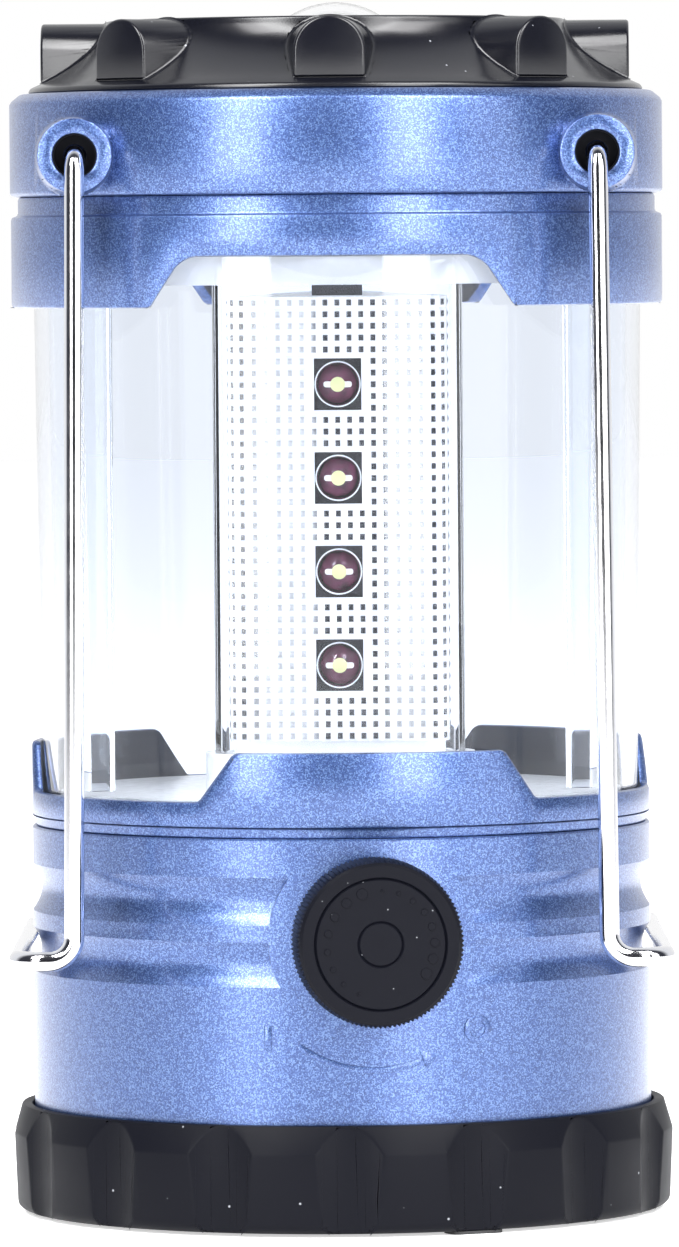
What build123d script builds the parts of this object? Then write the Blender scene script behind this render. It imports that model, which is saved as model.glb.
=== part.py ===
from build123d import *
from math import cos, radians, sin, sqrt
import os

# Camping lantern in millimetres. +Z is up, the dimmer knob faces -Y, and the origin is on the
# floor under the lantern's axis. Turns are about +Z, from the front towards +X.

# Overall sizes
housing_r = 39.5        # battery housing, outside
housing_h = 35.6        # from the base cap's rim to the housing's top
globe_h = 76.7
ring_h = 13.1           # handle ring
cap_h = 9.2             # top cap, above the handle ring

# Gaps and fits
run_gap = 0.3           # between pieces of different bodies
seat_gap = 0.1          # between pieces of one body that stand face to face
pin_clear = 0.08        # radial, round a turning pin
screw_clear = 0.05      # radial, round a screw's shank

# Turns of the lower and upper plastics about the axis, degrees
lower_turn = 5.8
upper_turn = -1.1
thirds = (0, 120, 240)
rib_angles = (60, 180, 300)

# Base cap
foot_h = 0.4
foot_w = 7.0
foot_l = 4.0
foot_ring_r = 39.0
foot_turn = 24.4
base_h = 13.5
base_floor = 1.7
base_stand_out = 2.8    # widest line beyond the housing
base_rim_out = 1.6      # rim beyond the housing
base_cone_h = 3.6
base_draft = 0.4
under_groove_r = 34.0   # ring groove in the underside
base_round = 1.3
flute_count = 16
flute_w = 8.4
flute_depth = 1.15
flute_turn = 1.0
rim_recess = 1.8        # how far the housing's shoulder sits inside the rim

# Battery housing
housing_wall = 2.2
spigot_in = 1.6         # spigot's step inside the housing
spigot_wall = 1.9
flange_t = 2.0
flange_in_r = 29.5
groove_high = (7.8, 6.0, 1.14)      # below the housing's top, width, depth
groove_low = (15.7, 5.6, 1.0)
pad_r = 13.0
knob_drop = 12.6        # knob's axis below the housing's top
mark_h = 0.3
seal_h = 1.8
seal_depth = 1.0
seal_proud = 0.3

# Cells and their cage
cell_r = 7.2
cell_len = 50.5
nub_r = 2.75
nub_h = 1.0
cell_clear = 0.25
cage_wall = 0.9
cage_plate = 1.5
contact_t = 0.3
contact_w = 8.0
spring_h = 1.6
spring_wire_r = 0.22
carrier_t = 1.6
carrier_lip_h = 2.2
stud_r = 1.5
clip_r = 3.0
clip_t = 0.5

# Lower shroud, deck and globe
band_h = 1.3
band_in = 0.4
shroud_wall = 1.2
shroud_h = 3.2
tab_h = 6.2
tab_top_half = 25.4     # degrees
tab_low_half = 32.4
tab_corner = 0.7
gasket_t = 0.8
deck_t = 1.4
deck_skirt = 3.1
plinth_wall = 0.8
plinth_roof = 1.0
globe_wall = 1.8
globe_flare = 0.9
rib_w = 2.6
rib_depth = 3.2

# Collar, handle ring and top cap
upper_gasket_t = 0.6
collar_gap = 0.5
collar_wall = 2.2
collar_h = 11.6
window_drop = 5.2
window_top_half = 26.4  # degrees
window_low_half = 32.9
window_corner = 2.0
neck_in = 0.9
neck_h = 2.5
ring_out = 0.1
ring_wall = 2.4
ring_chamfer = 1.4
ring_floor = 2.0
boss_turn = 51.4
boss_stand = 6.8
boss_face_r = 4.7
boss_taper = 0.045
pivot_up = 5.0          # above the ring's bottom
counterbore_gap = 1.5   # round the wire
counterbore_depth = 3.0
cap_wall = 2.0
cap_foot = 0.8
cap_top_r = 29.3
cap_dish_r = 26.2
cap_dish = 1.8
lug_count = 8
lug_w = 8.9
lug_face_in = 1.7       # lug's face inside the cap's foot
lug_taper = 8.0         # degrees
lug_drop = 0.2

# Bails
wire_r = 1.25
bail_gap = 0.35
bail_end = 0.9
bail_lean = 0.8
bail_bend = (2.5, 3.0, 3.5)
bar_gap = 0.75          # between the grip bar and the low groove

# Light column
column_in_r = 10.7      # axis to a flat side
column_corner = 4.0
sleeve_wall = 1.2
core_wall = 1.2
core_drop = 5.3
ceiling_t = 1.4
ceiling_skirt = 4.2
window_w = 6.0
window_h = 6.6
led_first = 11.1        # first window above the column's foot
led_last = 11.0         # last window below the core's top
led_rows = 4
led_r = 2.6
led_flange_r = 2.9
led_flange_h = 0.9
led_len = 5.0
board_t = 1.0
board_w = 10.2

# Dimmer and knob, lengths along the knob's axis
pot_r = 8.2
pot_len = 6.5
bush_r = 3.9
shaft_r = 3.0
washer_r = 5.6
washer_t = 0.5
nut_r = 5.7
nut_h = 2.0
knob_r = 10.5
knob_face_r = 10.1
knob_h = 7.8
knob_face_t = 2.1
knob_hub_r = 4.8
knob_hollow_r = 8.7
knurl_teeth = 96
knurl_depth = 0.35
knob_ring_r = 8.15
knob_dot_ring = 6.7
knob_dots = 8           # in each arc
knob_dot_r = (0.22, 0.72)
knob_arcs = ((88, -33), (245, 110))     # degrees, from the smallest dot to the largest
driver_w = 22.0
driver_h = 15.0
driver_t = 1.6

# Compass
compass_r = 10.9
compass_wall = 1.1
dome_r = 10.8
dome_up = 2.3           # above the cap's top
card_r = 8.5
card_t = 0.5
pin_r = 0.5

# Screws and leads
screw_r = 1.3
screw_head_r = 2.4
screw_head_h = 1.6
screw_ring_r = 32.4
cap_screw_ring_r = 30.6
lead_r = 0.6
lead_hole_r = 3.0       # way for the leads through the cage's plate

# Heights worked out from the stack
base_z = foot_h
rim_z = base_z + base_h
housing_z = rim_z + housing_h
floor_z = base_z + base_floor
shoulder_z = rim_z - rim_recess + run_gap
band_z = housing_z + band_h
shroud_z = band_z + shroud_h
tab_z = shroud_z + tab_h
carrier_z = floor_z + run_gap
contact_z = carrier_z + carrier_t
cell_z = contact_z + contact_t + spring_h + seat_gap
cell_top = cell_z + cell_len
cage_top = cell_top + contact_t + cage_wall
column_z = cage_top + seat_gap + plinth_roof
deck_z = housing_z + deck_skirt + deck_t
globe_z = housing_z + gasket_t
globe_top = globe_z + globe_h
collar_flange_z = globe_top + upper_gasket_t
ring_z = collar_flange_z + neck_h - 0.4
neck_z = ring_z - neck_h
ring_top = ring_z + ring_h
cap_top = ring_top + cap_h
pivot_z = ring_z + pivot_up
ceiling_z = collar_flange_z - ceiling_skirt - ceiling_t
sleeve_top = ceiling_z - seat_gap
core_top = sleeve_top - core_drop
led_pitch = (core_top - column_z - led_first - led_last) / (led_rows - 1)
knob_z = housing_z - knob_drop
bar_z = housing_z - groove_low[0] + 0.4

# Radii worked out from the fits
inner_r = housing_r - housing_wall
spigot_r = housing_r - spigot_in
bore_r = spigot_r + 2 * run_gap
globe_r = housing_r - shroud_wall - run_gap
globe_in = globe_r - globe_wall
globe_top_r = globe_r + globe_flare
collar_r = globe_top_r + collar_gap + collar_wall
neck_r = collar_r - neck_in
ring_r = collar_r + ring_out
deck_r = globe_in - run_gap
cell_ring = (cell_r + cell_clear + cage_wall / 2) * 2 / sqrt(3)
tube_r = cell_r + cell_clear + cage_wall
pivot_x = ring_r * sin(radians(boss_turn))
boss_face_y = ring_r * cos(radians(boss_turn)) + boss_stand
leg_y = boss_face_y + bail_gap + wire_r
bar_x = housing_r - groove_low[2] + bar_gap + wire_r
knob_back = housing_r + run_gap
pot_front = sqrt(inner_r ** 2 - pot_r ** 2) - seat_gap
board_front = pot_front - pot_len - 0.4
lead_line = board_front - driver_t - lead_r - 0.1
lead_way_y = flange_in_r - 6.0
nut_face = housing_r + washer_t + nut_h
shaft_end = knob_back + knob_h - knob_face_t

UP = (Align.CENTER, Align.CENTER, Align.MIN)


def rod(r, z0, z1):
    return Pos(0, 0, z0) * Cylinder(r, z1 - z0, align=UP)


def ring(r_out, r_in, z0, z1):
    return rod(r_out, z0, z1) - rod(r_in, z0 - 1, z1 + 1)


def turned(points):
    # A closed outline of (radius, height) points, turned about the lantern's axis.
    outline = Polyline(*points, close=True)
    return revolve(Plane.XZ * make_face(outline), Axis.Z, 360)


def slab(sketch, z0, z1):
    return extrude(Pos(0, 0, z0) * sketch, z1 - z0)


def rounded_triangle(inradius, corner):
    triangle = RegularPolygon(2 * inradius, 3, rotation=90)
    return fillet(triangle.vertices(), corner)


def at_third(shape, angle):
    return Rot(0, 0, angle) * shape


def copies(shape, angles):
    return Compound([Rot(0, 0, a) * shape for a in angles])


def front(distance, height):
    # A frame on the front at this height, whose +Z points away from the axis.
    return Pos(0, -distance, height) * Rot(90, 0, 0)


def knob_frame():
    return Rot(0, 0, lower_turn) * Pos(0, 0, knob_z) * Rot(90, 0, 0)


def front_prism(half_low, half_top, z0, z1, depth, corner=0):
    # A trapezium seen from the front, run out along -Y from the axis.
    points = [(-half_low, z0), (half_low, z0), (half_top, z1), (-half_top, z1)]
    face = make_face(Polyline(*points, close=True))
    if corner > 0:
        tops = face.vertices().sort_by(Axis.Y)[-2:]
        face = fillet(tops, corner)
    return Rot(90, 0, 0) * extrude(face, depth)


def screw(length):
    return rod(screw_r, 0, length) + rod(screw_head_r, -screw_head_h, 0)


# Base cap and what rides in it

def base_cap():
    wide = housing_r + base_stand_out
    low = wide - base_draft
    cone_z = rim_z - base_cone_h
    body = turned([
        (0, base_z), (low - base_round, base_z), (low - 0.3 * base_round, base_z + 0.3 * base_round),
        (low, base_z + base_round), (wide, cone_z), (housing_r + base_rim_out, rim_z),
        (housing_r + run_gap, rim_z), (housing_r + run_gap, rim_z - rim_recess),
        (bore_r, rim_z - rim_recess), (bore_r, floor_z), (0, floor_z)])
    sag = flute_depth - (wide - sqrt(wide ** 2 - flute_w ** 2 / 4))
    cutter_r = (flute_w ** 2 / 4 + sag ** 2) / (2 * sag)
    cutter = Pos(0, -(wide - flute_depth + cutter_r), 0) * rod(cutter_r, base_z - 1, rim_z + 1)
    for i in range(flute_count):
        body -= Rot(0, 0, flute_turn + 360 / flute_count * i) * cutter
    body -= ring(under_groove_r, under_groove_r - 1.0, base_z - 1, base_z + 0.5)
    return body + rod(stud_r, floor_z, contact_z + run_gap + clip_t + 0.3)


def rubber_feet():
    pad = Pos(0, -foot_ring_r, 0) * slab(RectangleRounded(foot_w, foot_l, 1.2), 0, base_z)
    return copies(pad, [foot_turn + a for a in thirds])


def carrier_clip():
    # A push-on ring that holds the carrier on the cap's stud.
    return ring(clip_r, stud_r + screw_clear, contact_z + run_gap, contact_z + run_gap + clip_t)


def contact_carrier():
    lip_r = spigot_r - spigot_wall - run_gap
    disc = rod(spigot_r - run_gap, carrier_z, contact_z)
    lip = ring(lip_r, lip_r - 1.5, contact_z, contact_z + carrier_lip_h)
    return disc + lip - rod(stud_r + pin_clear, carrier_z - 1, contact_z + 1)


def cell_place(angle):
    return Rot(0, 0, angle) * Pos(0, -cell_ring, 0)


def base_contacts():
    # One strip joins the cells at 60 and 180 degrees, the other runs from the third to the return strip.
    z0 = contact_z
    z1 = contact_z + contact_t
    bridge = Rot(0, 0, 120) * Pos(0, -cell_ring / 2, 0) * slab(
        SlotCenterToCenter(cell_ring * sqrt(3), contact_w), z0, z1)
    bridge -= rod(clip_r + 1, z0 - 1, z1 + 1)
    button = rod(nub_r, z1, cell_z)
    bridge += cell_place(180) * button
    pad = cell_place(300) * rod(contact_w / 2, z0, z1)
    tail_end = screw_ring_r - 3
    tail = Rot(0, 0, 300) * Pos(0, -(cell_ring + tail_end) / 2, 0) * slab(
        Rectangle(4, tail_end - cell_ring), z0, z1)
    return Compound([bridge, pad + tail])


def base_springs():
    pitch = spring_h / 2.4
    path = Helix(pitch, spring_h - 2 * spring_wire_r, 4.6, cone_angle=-48)
    start = Plane(origin=path @ 0, z_dir=path % 0)
    coil = sweep(start * Circle(spring_wire_r), path, is_frenet=True)
    z0 = contact_z + contact_t + spring_wire_r
    return Compound([cell_place(a) * Pos(0, 0, z0) * coil for a in (60, 300)])


# Battery housing and its inside

def groove_points(drop, width, depth, steps=6):
    # A soft hollow in the housing's side, from its top edge down.
    centre = housing_z - drop
    points = []
    for i in range(1, steps):
        t = 1 - 2 * i / steps
        points.append((housing_r - depth * (1 - t * t), centre + t * width / 2))
    ends = [(housing_r, centre + width / 2), (housing_r, centre - width / 2)]
    return [ends[0]] + points + [ends[1]]


def knob_marks():
    # A curved arrow with a bar at one end and a ring at the other, raised on the housing.
    arc_r = 16.2
    arc = Circle(arc_r + 0.45) - Circle(arc_r - 0.45)
    wedge = make_face(Polyline((0, 0), *[(30 * cos(radians(a)), 30 * sin(radians(a)))
                                         for a in (-126, -108, -90, -66)], close=True))
    tip = Rot(0, 0, -66) * Pos(arc_r, 0) * make_face(Polyline((-1.5, 0), (1.5, 0), (0, 2.6), close=True))
    bar = Pos(18 * cos(radians(223)), 18 * sin(radians(223))) * Rectangle(0.9, 3.3)
    spot = Pos(17.4 * cos(radians(-41)), 17.4 * sin(radians(-41)))
    hoop = spot * (Circle(1.7) - Circle(0.9))
    shapes = arc & wedge
    return slab(shapes + tip + bar + hoop, 0, housing_r + 5)


def battery_housing():
    spigot_z = contact_z + 1.0
    seal_z = shoulder_z - 0.6
    in_r = spigot_r - spigot_wall
    outline = [
        (in_r, spigot_z), (spigot_r, spigot_z), (spigot_r, seal_z - seal_h),
        (spigot_r - seal_depth, seal_z - seal_h), (spigot_r - seal_depth, seal_z), (spigot_r, seal_z),
        (spigot_r, shoulder_z), (housing_r, shoulder_z)]
    outline += reversed(groove_points(*groove_low))
    outline += reversed(groove_points(*groove_high))
    outline += [
        (housing_r, housing_z), (flange_in_r, housing_z), (flange_in_r, housing_z - flange_t),
        (inner_r, housing_z - flange_t), (inner_r, rim_z + 1), (in_r, rim_z - 1)]
    body = turned(outline)
    skin = ring(housing_r, inner_r + 0.5, rim_z, housing_z - 0.5)
    body += skin & (knob_frame() * rod(pad_r, 0, housing_r + 5))
    marks = ring(housing_r + mark_h, housing_r - 0.4, rim_z + 1, housing_z - 1)
    body += marks & (knob_frame() * knob_marks())
    body -= knob_frame() * rod(bush_r + screw_clear, inner_r - 3, housing_r + 3)
    hole = Pos(0, -screw_ring_r, 0) * rod(screw_r + screw_clear, housing_z - flange_t - 1, housing_z + 1)
    for a in thirds:
        body -= Rot(0, 0, 30 + a) * hole
    return body


def base_seal():
    seal_z = shoulder_z - 0.6
    return ring(spigot_r + seal_proud, spigot_r - seal_depth, seal_z - seal_h, seal_z)


def three_discs(r, z0, z1):
    discs = cell_place(rib_angles[0]) * rod(r, z0, z1)
    for a in rib_angles[1:]:
        discs += cell_place(a) * rod(r, z0, z1)
    return discs


def battery_cage():
    z0 = contact_z + contact_t + 2.6
    plate_top = housing_z - flange_t - seat_gap
    body = three_discs(tube_r, z0, cage_top) + rod(screw_ring_r + 2.8, plate_top - cage_plate, plate_top)
    body -= three_discs(cell_r + cell_clear, z0 - 1, cell_top + contact_t)
    hole = Pos(0, -screw_ring_r, 0) * rod(screw_r + screw_clear, plate_top - cage_plate - 1, plate_top + 1)
    lead_way = Pos(0, -lead_way_y, 0) * rod(lead_hole_r, plate_top - cage_plate - 1, plate_top + 1)
    for a in thirds:
        body -= Rot(0, 0, 30 + a) * hole
        body -= Rot(0, 0, a) * lead_way
    body -= three_discs(nub_r, cell_top, cage_top - 0.4)
    return body


def cell(nub_up):
    body = rod(cell_r, 0, cell_len - nub_h) + rod(nub_r, cell_len - nub_h, cell_len)
    if not nub_up:
        body = Pos(0, 0, cell_len) * Rot(180, 0, 0) * body
    return Pos(0, 0, cell_z) * body


def top_contacts():
    z0 = cell_top
    z1 = cell_top + contact_t
    discs = [cell_place(a) * rod(nub_r + 2.4, z0, z1) for a in rib_angles]
    return Compound(discs)


def return_strip():
    z0 = contact_z + contact_t + run_gap
    z1 = housing_z - flange_t - cage_plate - 2 * seat_gap
    return Rot(0, 0, 300) * Pos(0, -(screw_ring_r - 4.5), z0) * Box(
        3.0, contact_t, z1 - z0, align=UP)


# Lower shroud, deck and globe

def lower_shroud():
    globe_clear = housing_r - shroud_wall
    body = turned([
        (globe_clear, housing_z), (housing_r - band_in, housing_z), (housing_r - band_in, band_z),
        (housing_r, band_z), (housing_r, tab_z), (globe_clear, tab_z)])
    low = housing_r * sin(radians(tab_low_half))
    top = housing_r * sin(radians(tab_top_half))
    prism = front_prism(low, top, shroud_z, tab_z, housing_r + 5, corner=tab_corner)
    between = ring(housing_r + 1, globe_clear - 1, shroud_z, tab_z + 1)
    for a in thirds:
        between -= Rot(0, 0, lower_turn + a) * prism
    return body - between


def lower_gasket():
    return ring(globe_r, globe_in + 0.2, housing_z, housing_z + gasket_t)


def upper_gasket():
    return ring(globe_top_r, globe_top_r - globe_wall, globe_top, globe_top + upper_gasket_t)


def plinth_sketch(extra):
    lobes = rounded_triangle(column_in_r + extra, column_corner + extra)
    for a in rib_angles:
        lobes += Rot(0, 0, a) * Pos(0, -cell_ring) * Circle(tube_r + seat_gap + extra)
    return lobes


def deck_reflector():
    body = rod(deck_r, housing_z + deck_skirt, deck_z)
    body += ring(deck_r, deck_r - 1.6, housing_z, deck_z)
    body += slab(plinth_sketch(plinth_wall), housing_z + deck_skirt, column_z)
    body -= slab(plinth_sketch(0), housing_z, column_z - plinth_roof)
    boss = Pos(0, -screw_ring_r, 0) * (rod(3.0, housing_z, deck_z) - rod(
        screw_r + screw_clear, housing_z - 1, housing_z + deck_skirt))
    hole = Pos(0, -screw_ring_r, 0) * rod(screw_r + screw_clear, housing_z - 1, housing_z + deck_skirt)
    for a in thirds:
        body += Rot(0, 0, 30 + a) * boss
        body -= Rot(0, 0, 30 + a) * hole
    body -= rod(2.6, column_z - plinth_roof - 1, column_z + 1)
    return body


def globe():
    flare = globe_flare / globe_h
    body = turned([(0, globe_z), (globe_r, globe_z), (globe_top_r, globe_top), (0, globe_top)])
    hollow = turned([
        (0, globe_z - 1), (globe_in - flare, globe_z - 1),
        (globe_top_r - globe_wall + flare, globe_top + 1), (0, globe_top + 1)])
    z0 = deck_z + 0.4
    z1 = ceiling_z - 0.4
    rib = Pos(0, -(globe_in - rib_depth), z0) * Box(
        rib_w, rib_depth + globe_wall, z1 - z0, align=(Align.CENTER, Align.MAX, Align.MIN))
    for a in rib_angles:
        hollow -= Rot(0, 0, a) * rib
    return body - hollow


# Collar, handle ring, bails and cap

def upper_collar():
    in_r = collar_r - collar_wall
    low_z = neck_z - collar_h
    body = turned([
        (in_r, low_z), (collar_r, low_z), (collar_r, neck_z), (neck_r, neck_z), (neck_r, ring_z),
        (screw_ring_r - 4, ring_z), (screw_ring_r - 4, collar_flange_z), (in_r, collar_flange_z)])
    low = collar_r * sin(radians(window_low_half))
    top = collar_r * sin(radians(window_top_half))
    prism = front_prism(low, top, low_z - 1, neck_z - window_drop, collar_r + 5, corner=window_corner)
    hole = Pos(0, -screw_ring_r, 0) * rod(screw_r + screw_clear, collar_flange_z - 1, ring_z + 1)
    for a in thirds:
        body -= Rot(0, 0, upper_turn + a) * prism
        body -= Rot(0, 0, 30 + a) * hole
    return body


def ceiling_reflector():
    r = globe_top_r - globe_wall - run_gap - 0.2
    body = rod(r, ceiling_z, ceiling_z + ceiling_t)
    body += ring(r, r - 1.5, ceiling_z, collar_flange_z)
    boss = Pos(0, -screw_ring_r, 0) * rod(3.0, ceiling_z, collar_flange_z)
    hole = Pos(0, -screw_ring_r, 0) * rod(screw_r + screw_clear, ceiling_z + ceiling_t, collar_flange_z + 1)
    for a in thirds:
        body += Rot(0, 0, 30 + a) * boss
    for a in thirds:
        body -= Rot(0, 0, 30 + a) * hole
    return body


def handle_ring():
    in_r = ring_r - ring_wall
    hole_r = screw_r + screw_clear
    body = turned([
        (screw_ring_r - 4, ring_z), (ring_r, ring_z), (ring_r, ring_top - ring_chamfer),
        (ring_r - ring_chamfer, ring_top), (cap_screw_ring_r - 4, ring_top),
        (cap_screw_ring_r - 4, ring_top - ring_floor), (in_r, ring_top - ring_floor),
        (in_r, ring_z + ring_floor), (screw_ring_r - 4, ring_z + ring_floor)])
    root_y = 15.0
    length = boss_face_y - root_y
    boss = Cone(boss_face_r + boss_taper * length, boss_face_r, length, align=UP)
    core = rod(in_r, ring_z - 5, ring_top)
    keep = rod(ring_r + boss_stand + 5, ring_z, ring_top)
    for side in (-1, 1):
        for turn in (0, 180):
            place = Rot(0, 0, turn) * Pos(side * pivot_x, 0, pivot_z) * Rot(90, 0, 0)
            body += ((place * Pos(0, 0, root_y) * boss) - core) & keep
            body -= place * rod(wire_r + pin_clear, root_y, boss_face_y + 1)
            body -= place * rod(wire_r + counterbore_gap, boss_face_y - counterbore_depth, boss_face_y + 1)
    for a in thirds:
        low = Rot(0, 0, 30 + a) * Pos(0, -screw_ring_r, 0)
        high = Rot(0, 0, 90 + a) * Pos(0, -cap_screw_ring_r, 0)
        body -= low * rod(hole_r, ring_z - 1, ring_z + ring_floor + 1)
        body -= high * rod(hole_r, ring_top - ring_floor - 1, ring_top + 1)
    return body


def bail(side):
    # Wire from one boss down, out to the grip bar, across, and back up to the rear boss.
    end_y = ring_r * cos(radians(boss_turn)) - ring_wall - bail_end
    foot_x = pivot_x + bail_lean
    half = [(pivot_x, -end_y, pivot_z), (pivot_x, -leg_y, pivot_z), (foot_x, -leg_y, bar_z),
            (bar_x, -leg_y, bar_z)]
    points = half + [(x, -y, z) for x, y, z in reversed(half)]
    points = [(side * x, y, z) for x, y, z in points]
    bends = list(bail_bend) + list(reversed(bail_bend))
    path = FilletPolyline(*points, radius=bends)
    start = Plane(origin=path @ 0, z_dir=path % 0)
    return sweep(start * Circle(wire_r), path)


def top_cap():
    foot_r = ring_r - ring_chamfer - 1.1
    flare_z = ring_top + cap_foot
    dish_z = cap_top - cap_dish
    well_r = compass_r + seat_gap
    lip_r = dome_r - 1.0
    well_z = ring_top - 2.2
    steps = [(0.28, 0.45), (0.54, 0.74), (0.78, 0.9)]
    rise = cap_top - flare_z
    reach = foot_r - 0.4 - cap_top_r
    flare = [(foot_r - 0.4 - reach * b, flare_z + rise * a) for a, b in steps]
    under = [(r - cap_wall, z - 0.9) for r, z in flare]
    outline = [(foot_r - cap_wall, ring_top), (foot_r, ring_top), (foot_r, flare_z - 0.2),
               (foot_r - 0.4, flare_z)]
    outline += flare
    outline += [(cap_top_r, cap_top), (cap_dish_r, cap_top), (cap_dish_r - 0.8, dish_z), (lip_r, dish_z),
                (lip_r, dish_z - 1.4), (well_r, dish_z - 1.4), (well_r, well_z), (well_r + 1.5, well_z),
                (well_r + 1.5, dish_z - cap_wall), (cap_dish_r - cap_wall, dish_z - cap_wall)]
    outline += list(reversed(under))
    body = turned(outline)
    lug_h = cap_top - lug_drop - flare_z - 0.6
    face = Rectangle(lug_w, lug_h - lug_w / 2, align=(Align.CENTER, Align.MIN))
    face += Pos(0, lug_h - lug_w / 2) * Circle(lug_w / 2)
    face_r = foot_r - lug_face_in
    deep = face_r - cap_top_r + 1.0
    lug = front(face_r, flare_z + 0.6) * extrude(face, -deep, taper=-lug_taper)
    keep = rod(foot_r, ring_top + 0.2, cap_top - lug_drop) - rod(cap_top_r - cap_wall, ring_top, cap_top)
    for i in range(lug_count):
        body += (Rot(0, 0, upper_turn + 360 / lug_count * i) * lug) & keep
    boss = Pos(0, -cap_screw_ring_r, 0) * rod(2.6, ring_top, ring_top + 3.8)
    hole = Pos(0, -cap_screw_ring_r, 0) * rod(screw_r + screw_clear, ring_top - 1, ring_top + 3.3)
    for a in thirds:
        body += Rot(0, 0, 90 + a) * boss
        body -= Rot(0, 0, 90 + a) * hole
    return body


def compass_levels():
    lens_top = cap_top + dome_up
    centre = lens_top - dome_r
    foot = cap_top - cap_dish - 1.4 - seat_gap
    return lens_top, centre, foot


def compass_lens():
    lens_top, centre, foot = compass_levels()
    low = foot - 1.2
    shell = Pos(0, 0, centre) * (Sphere(dome_r) - Sphere(dome_r - compass_wall))
    shell &= rod(lens_clear_r(), low, lens_top + 1)
    flange = ring(compass_r, sqrt((dome_r - compass_wall) ** 2 - (foot - centre) ** 2), low, foot)
    return shell + flange


def lens_clear_r():
    return dome_r - 1.0 - seat_gap


def compass_cup():
    lens_top, centre, foot = compass_levels()
    low = ring_top - 2.2
    rim = foot - 1.2
    return rod(compass_r, low, rim) - rod(compass_r - compass_wall, low + compass_wall, rim + 1)


def compass_pivot():
    low = ring_top - 2.2 + compass_wall
    return rod(2.0, low, low + 0.6) + rod(pin_r, low + 0.6, cap_top - 4.4)


def compass_card():
    top = cap_top - 4.4
    disc = rod(card_r, top - 0.9, top - 0.9 + card_t)
    hub = rod(1.4, top - 1.6, top + 0.7)
    return disc + hub - rod(pin_r + pin_clear, top - 3, top + 0.1)


# Light column

def column_sleeve():
    outer = slab(rounded_triangle(column_in_r, column_corner), column_z, sleeve_top)
    inner_corner = column_corner - sleeve_wall
    inner = slab(rounded_triangle(column_in_r - sleeve_wall, inner_corner), column_z - 1, sleeve_top - sleeve_wall)
    edges = outer.faces().sort_by(Axis.Z)[-1].edges()
    return fillet(edges, 1.0) - inner


def reflector_core():
    side = column_in_r - sleeve_wall - 0.2
    corner = column_corner - sleeve_wall - 0.2
    body = slab(rounded_triangle(side, corner), column_z, core_top)
    body -= slab(rounded_triangle(side - core_wall, corner - core_wall), column_z - 1, core_top - core_wall)
    hole = front(0, column_z + led_first) * Box(window_w, window_h, 40, align=UP)
    for row in range(led_rows):
        for a in thirds:
            body -= Pos(0, 0, led_pitch * row) * Rot(0, 0, a) * hole
    return body


def led_board():
    face_y = column_in_r - sleeve_wall - 0.2 - led_len - 0.1
    z0 = column_z + 1.5
    z1 = core_top - core_wall - 1
    return Pos(0, -(face_y - board_t / 2), z0) * Box(board_w, board_t, z1 - z0, align=UP)


def led():
    straight = led_len - led_r
    body = rod(led_flange_r, 0, led_flange_h) + rod(led_r, 0, straight)
    return body + Pos(0, 0, straight) * (Sphere(led_r) & rod(led_r + 1, 0, led_r + 1))


def led_column():
    face_y = column_in_r - sleeve_wall - 0.2 - led_len - 0.1
    rows = [front(face_y, column_z + led_first + led_pitch * i) * led() for i in range(led_rows)]
    return Compound(rows)


# Dimmer, knob and leads. Their own +Z is the distance from the lantern's axis.

def dimmer():
    body = rod(pot_r, pot_front - pot_len, pot_front) + rod(bush_r, pot_front - 1, nut_face + 0.6)
    return knob_frame() * (body - rod(shaft_r + pin_clear, pot_front - pot_len + 2, nut_face + 2))


def dimmer_washer():
    return knob_frame() * ring(washer_r, bush_r + screw_clear, housing_r, housing_r + washer_t)


def dimmer_nut():
    hexagon = RegularPolygon(nut_r, 6) - Circle(bush_r + screw_clear)
    return knob_frame() * slab(hexagon, housing_r + washer_t, nut_face)


def dimmer_shaft():
    return knob_frame() * rod(shaft_r, pot_front - pot_len + 2.5, shaft_end)


def knob():
    knurl_base = []
    for i in range(2 * knurl_teeth):
        angle = radians(180 / knurl_teeth * i)
        r = knob_r - knurl_depth * (i % 2)
        knurl_base.append((r * cos(angle), r * sin(angle)))
    rim = slab(make_face(Polyline(*knurl_base, close=True)), knob_back, knob_back + knob_h - 0.7)
    body = rim + rod(knob_face_r - 0.3, knob_back + knob_h - 0.8, knob_back + knob_h)
    under = knob_back + knob_h - knob_face_t
    body -= ring(knob_hollow_r, knob_hub_r, knob_back - 1, under)
    body -= rod(knob_hollow_r, knob_back - 1, nut_face + 1.2)
    body -= rod(shaft_r + 0.01, knob_back - 1, shaft_end)
    face_z = knob_back + knob_h
    body -= ring(knob_ring_r + 0.2, knob_ring_r - 0.2, face_z - 0.3, face_z + 1)
    body -= ring(2.95, 2.55, face_z - 0.3, face_z + 1)
    steps = knob_dots - 1
    for first, last in knob_arcs:
        for i in range(knob_dots):
            spot = Rot(0, 0, first + (last - first) * i / steps) * Pos(knob_dot_ring, 0, 0)
            size = knob_dot_r[0] + (knob_dot_r[1] - knob_dot_r[0]) * i / steps
            body += spot * rod(size, face_z - 0.1, face_z + 0.15)
    return knob_frame() * body


def driver_board():
    r = board_front
    plate = Pos(0, 0, r - driver_t) * Box(driver_w, driver_h, driver_t, align=UP)
    chips = Pos(-5, -4, r - driver_t - 1.4) * Box(5, 4, 1.4, align=UP)
    chips += Pos(5.5, 3, r - driver_t - 3.0) * Cylinder(2.5, 3.0, align=UP)
    return knob_frame() * (plate + chips)


def lead(points, bends):
    path = FilletPolyline(*points, radius=bends)
    start = Plane(origin=path @ 0, z_dir=path % 0)
    return sweep(start * Circle(lead_r), path)


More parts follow.
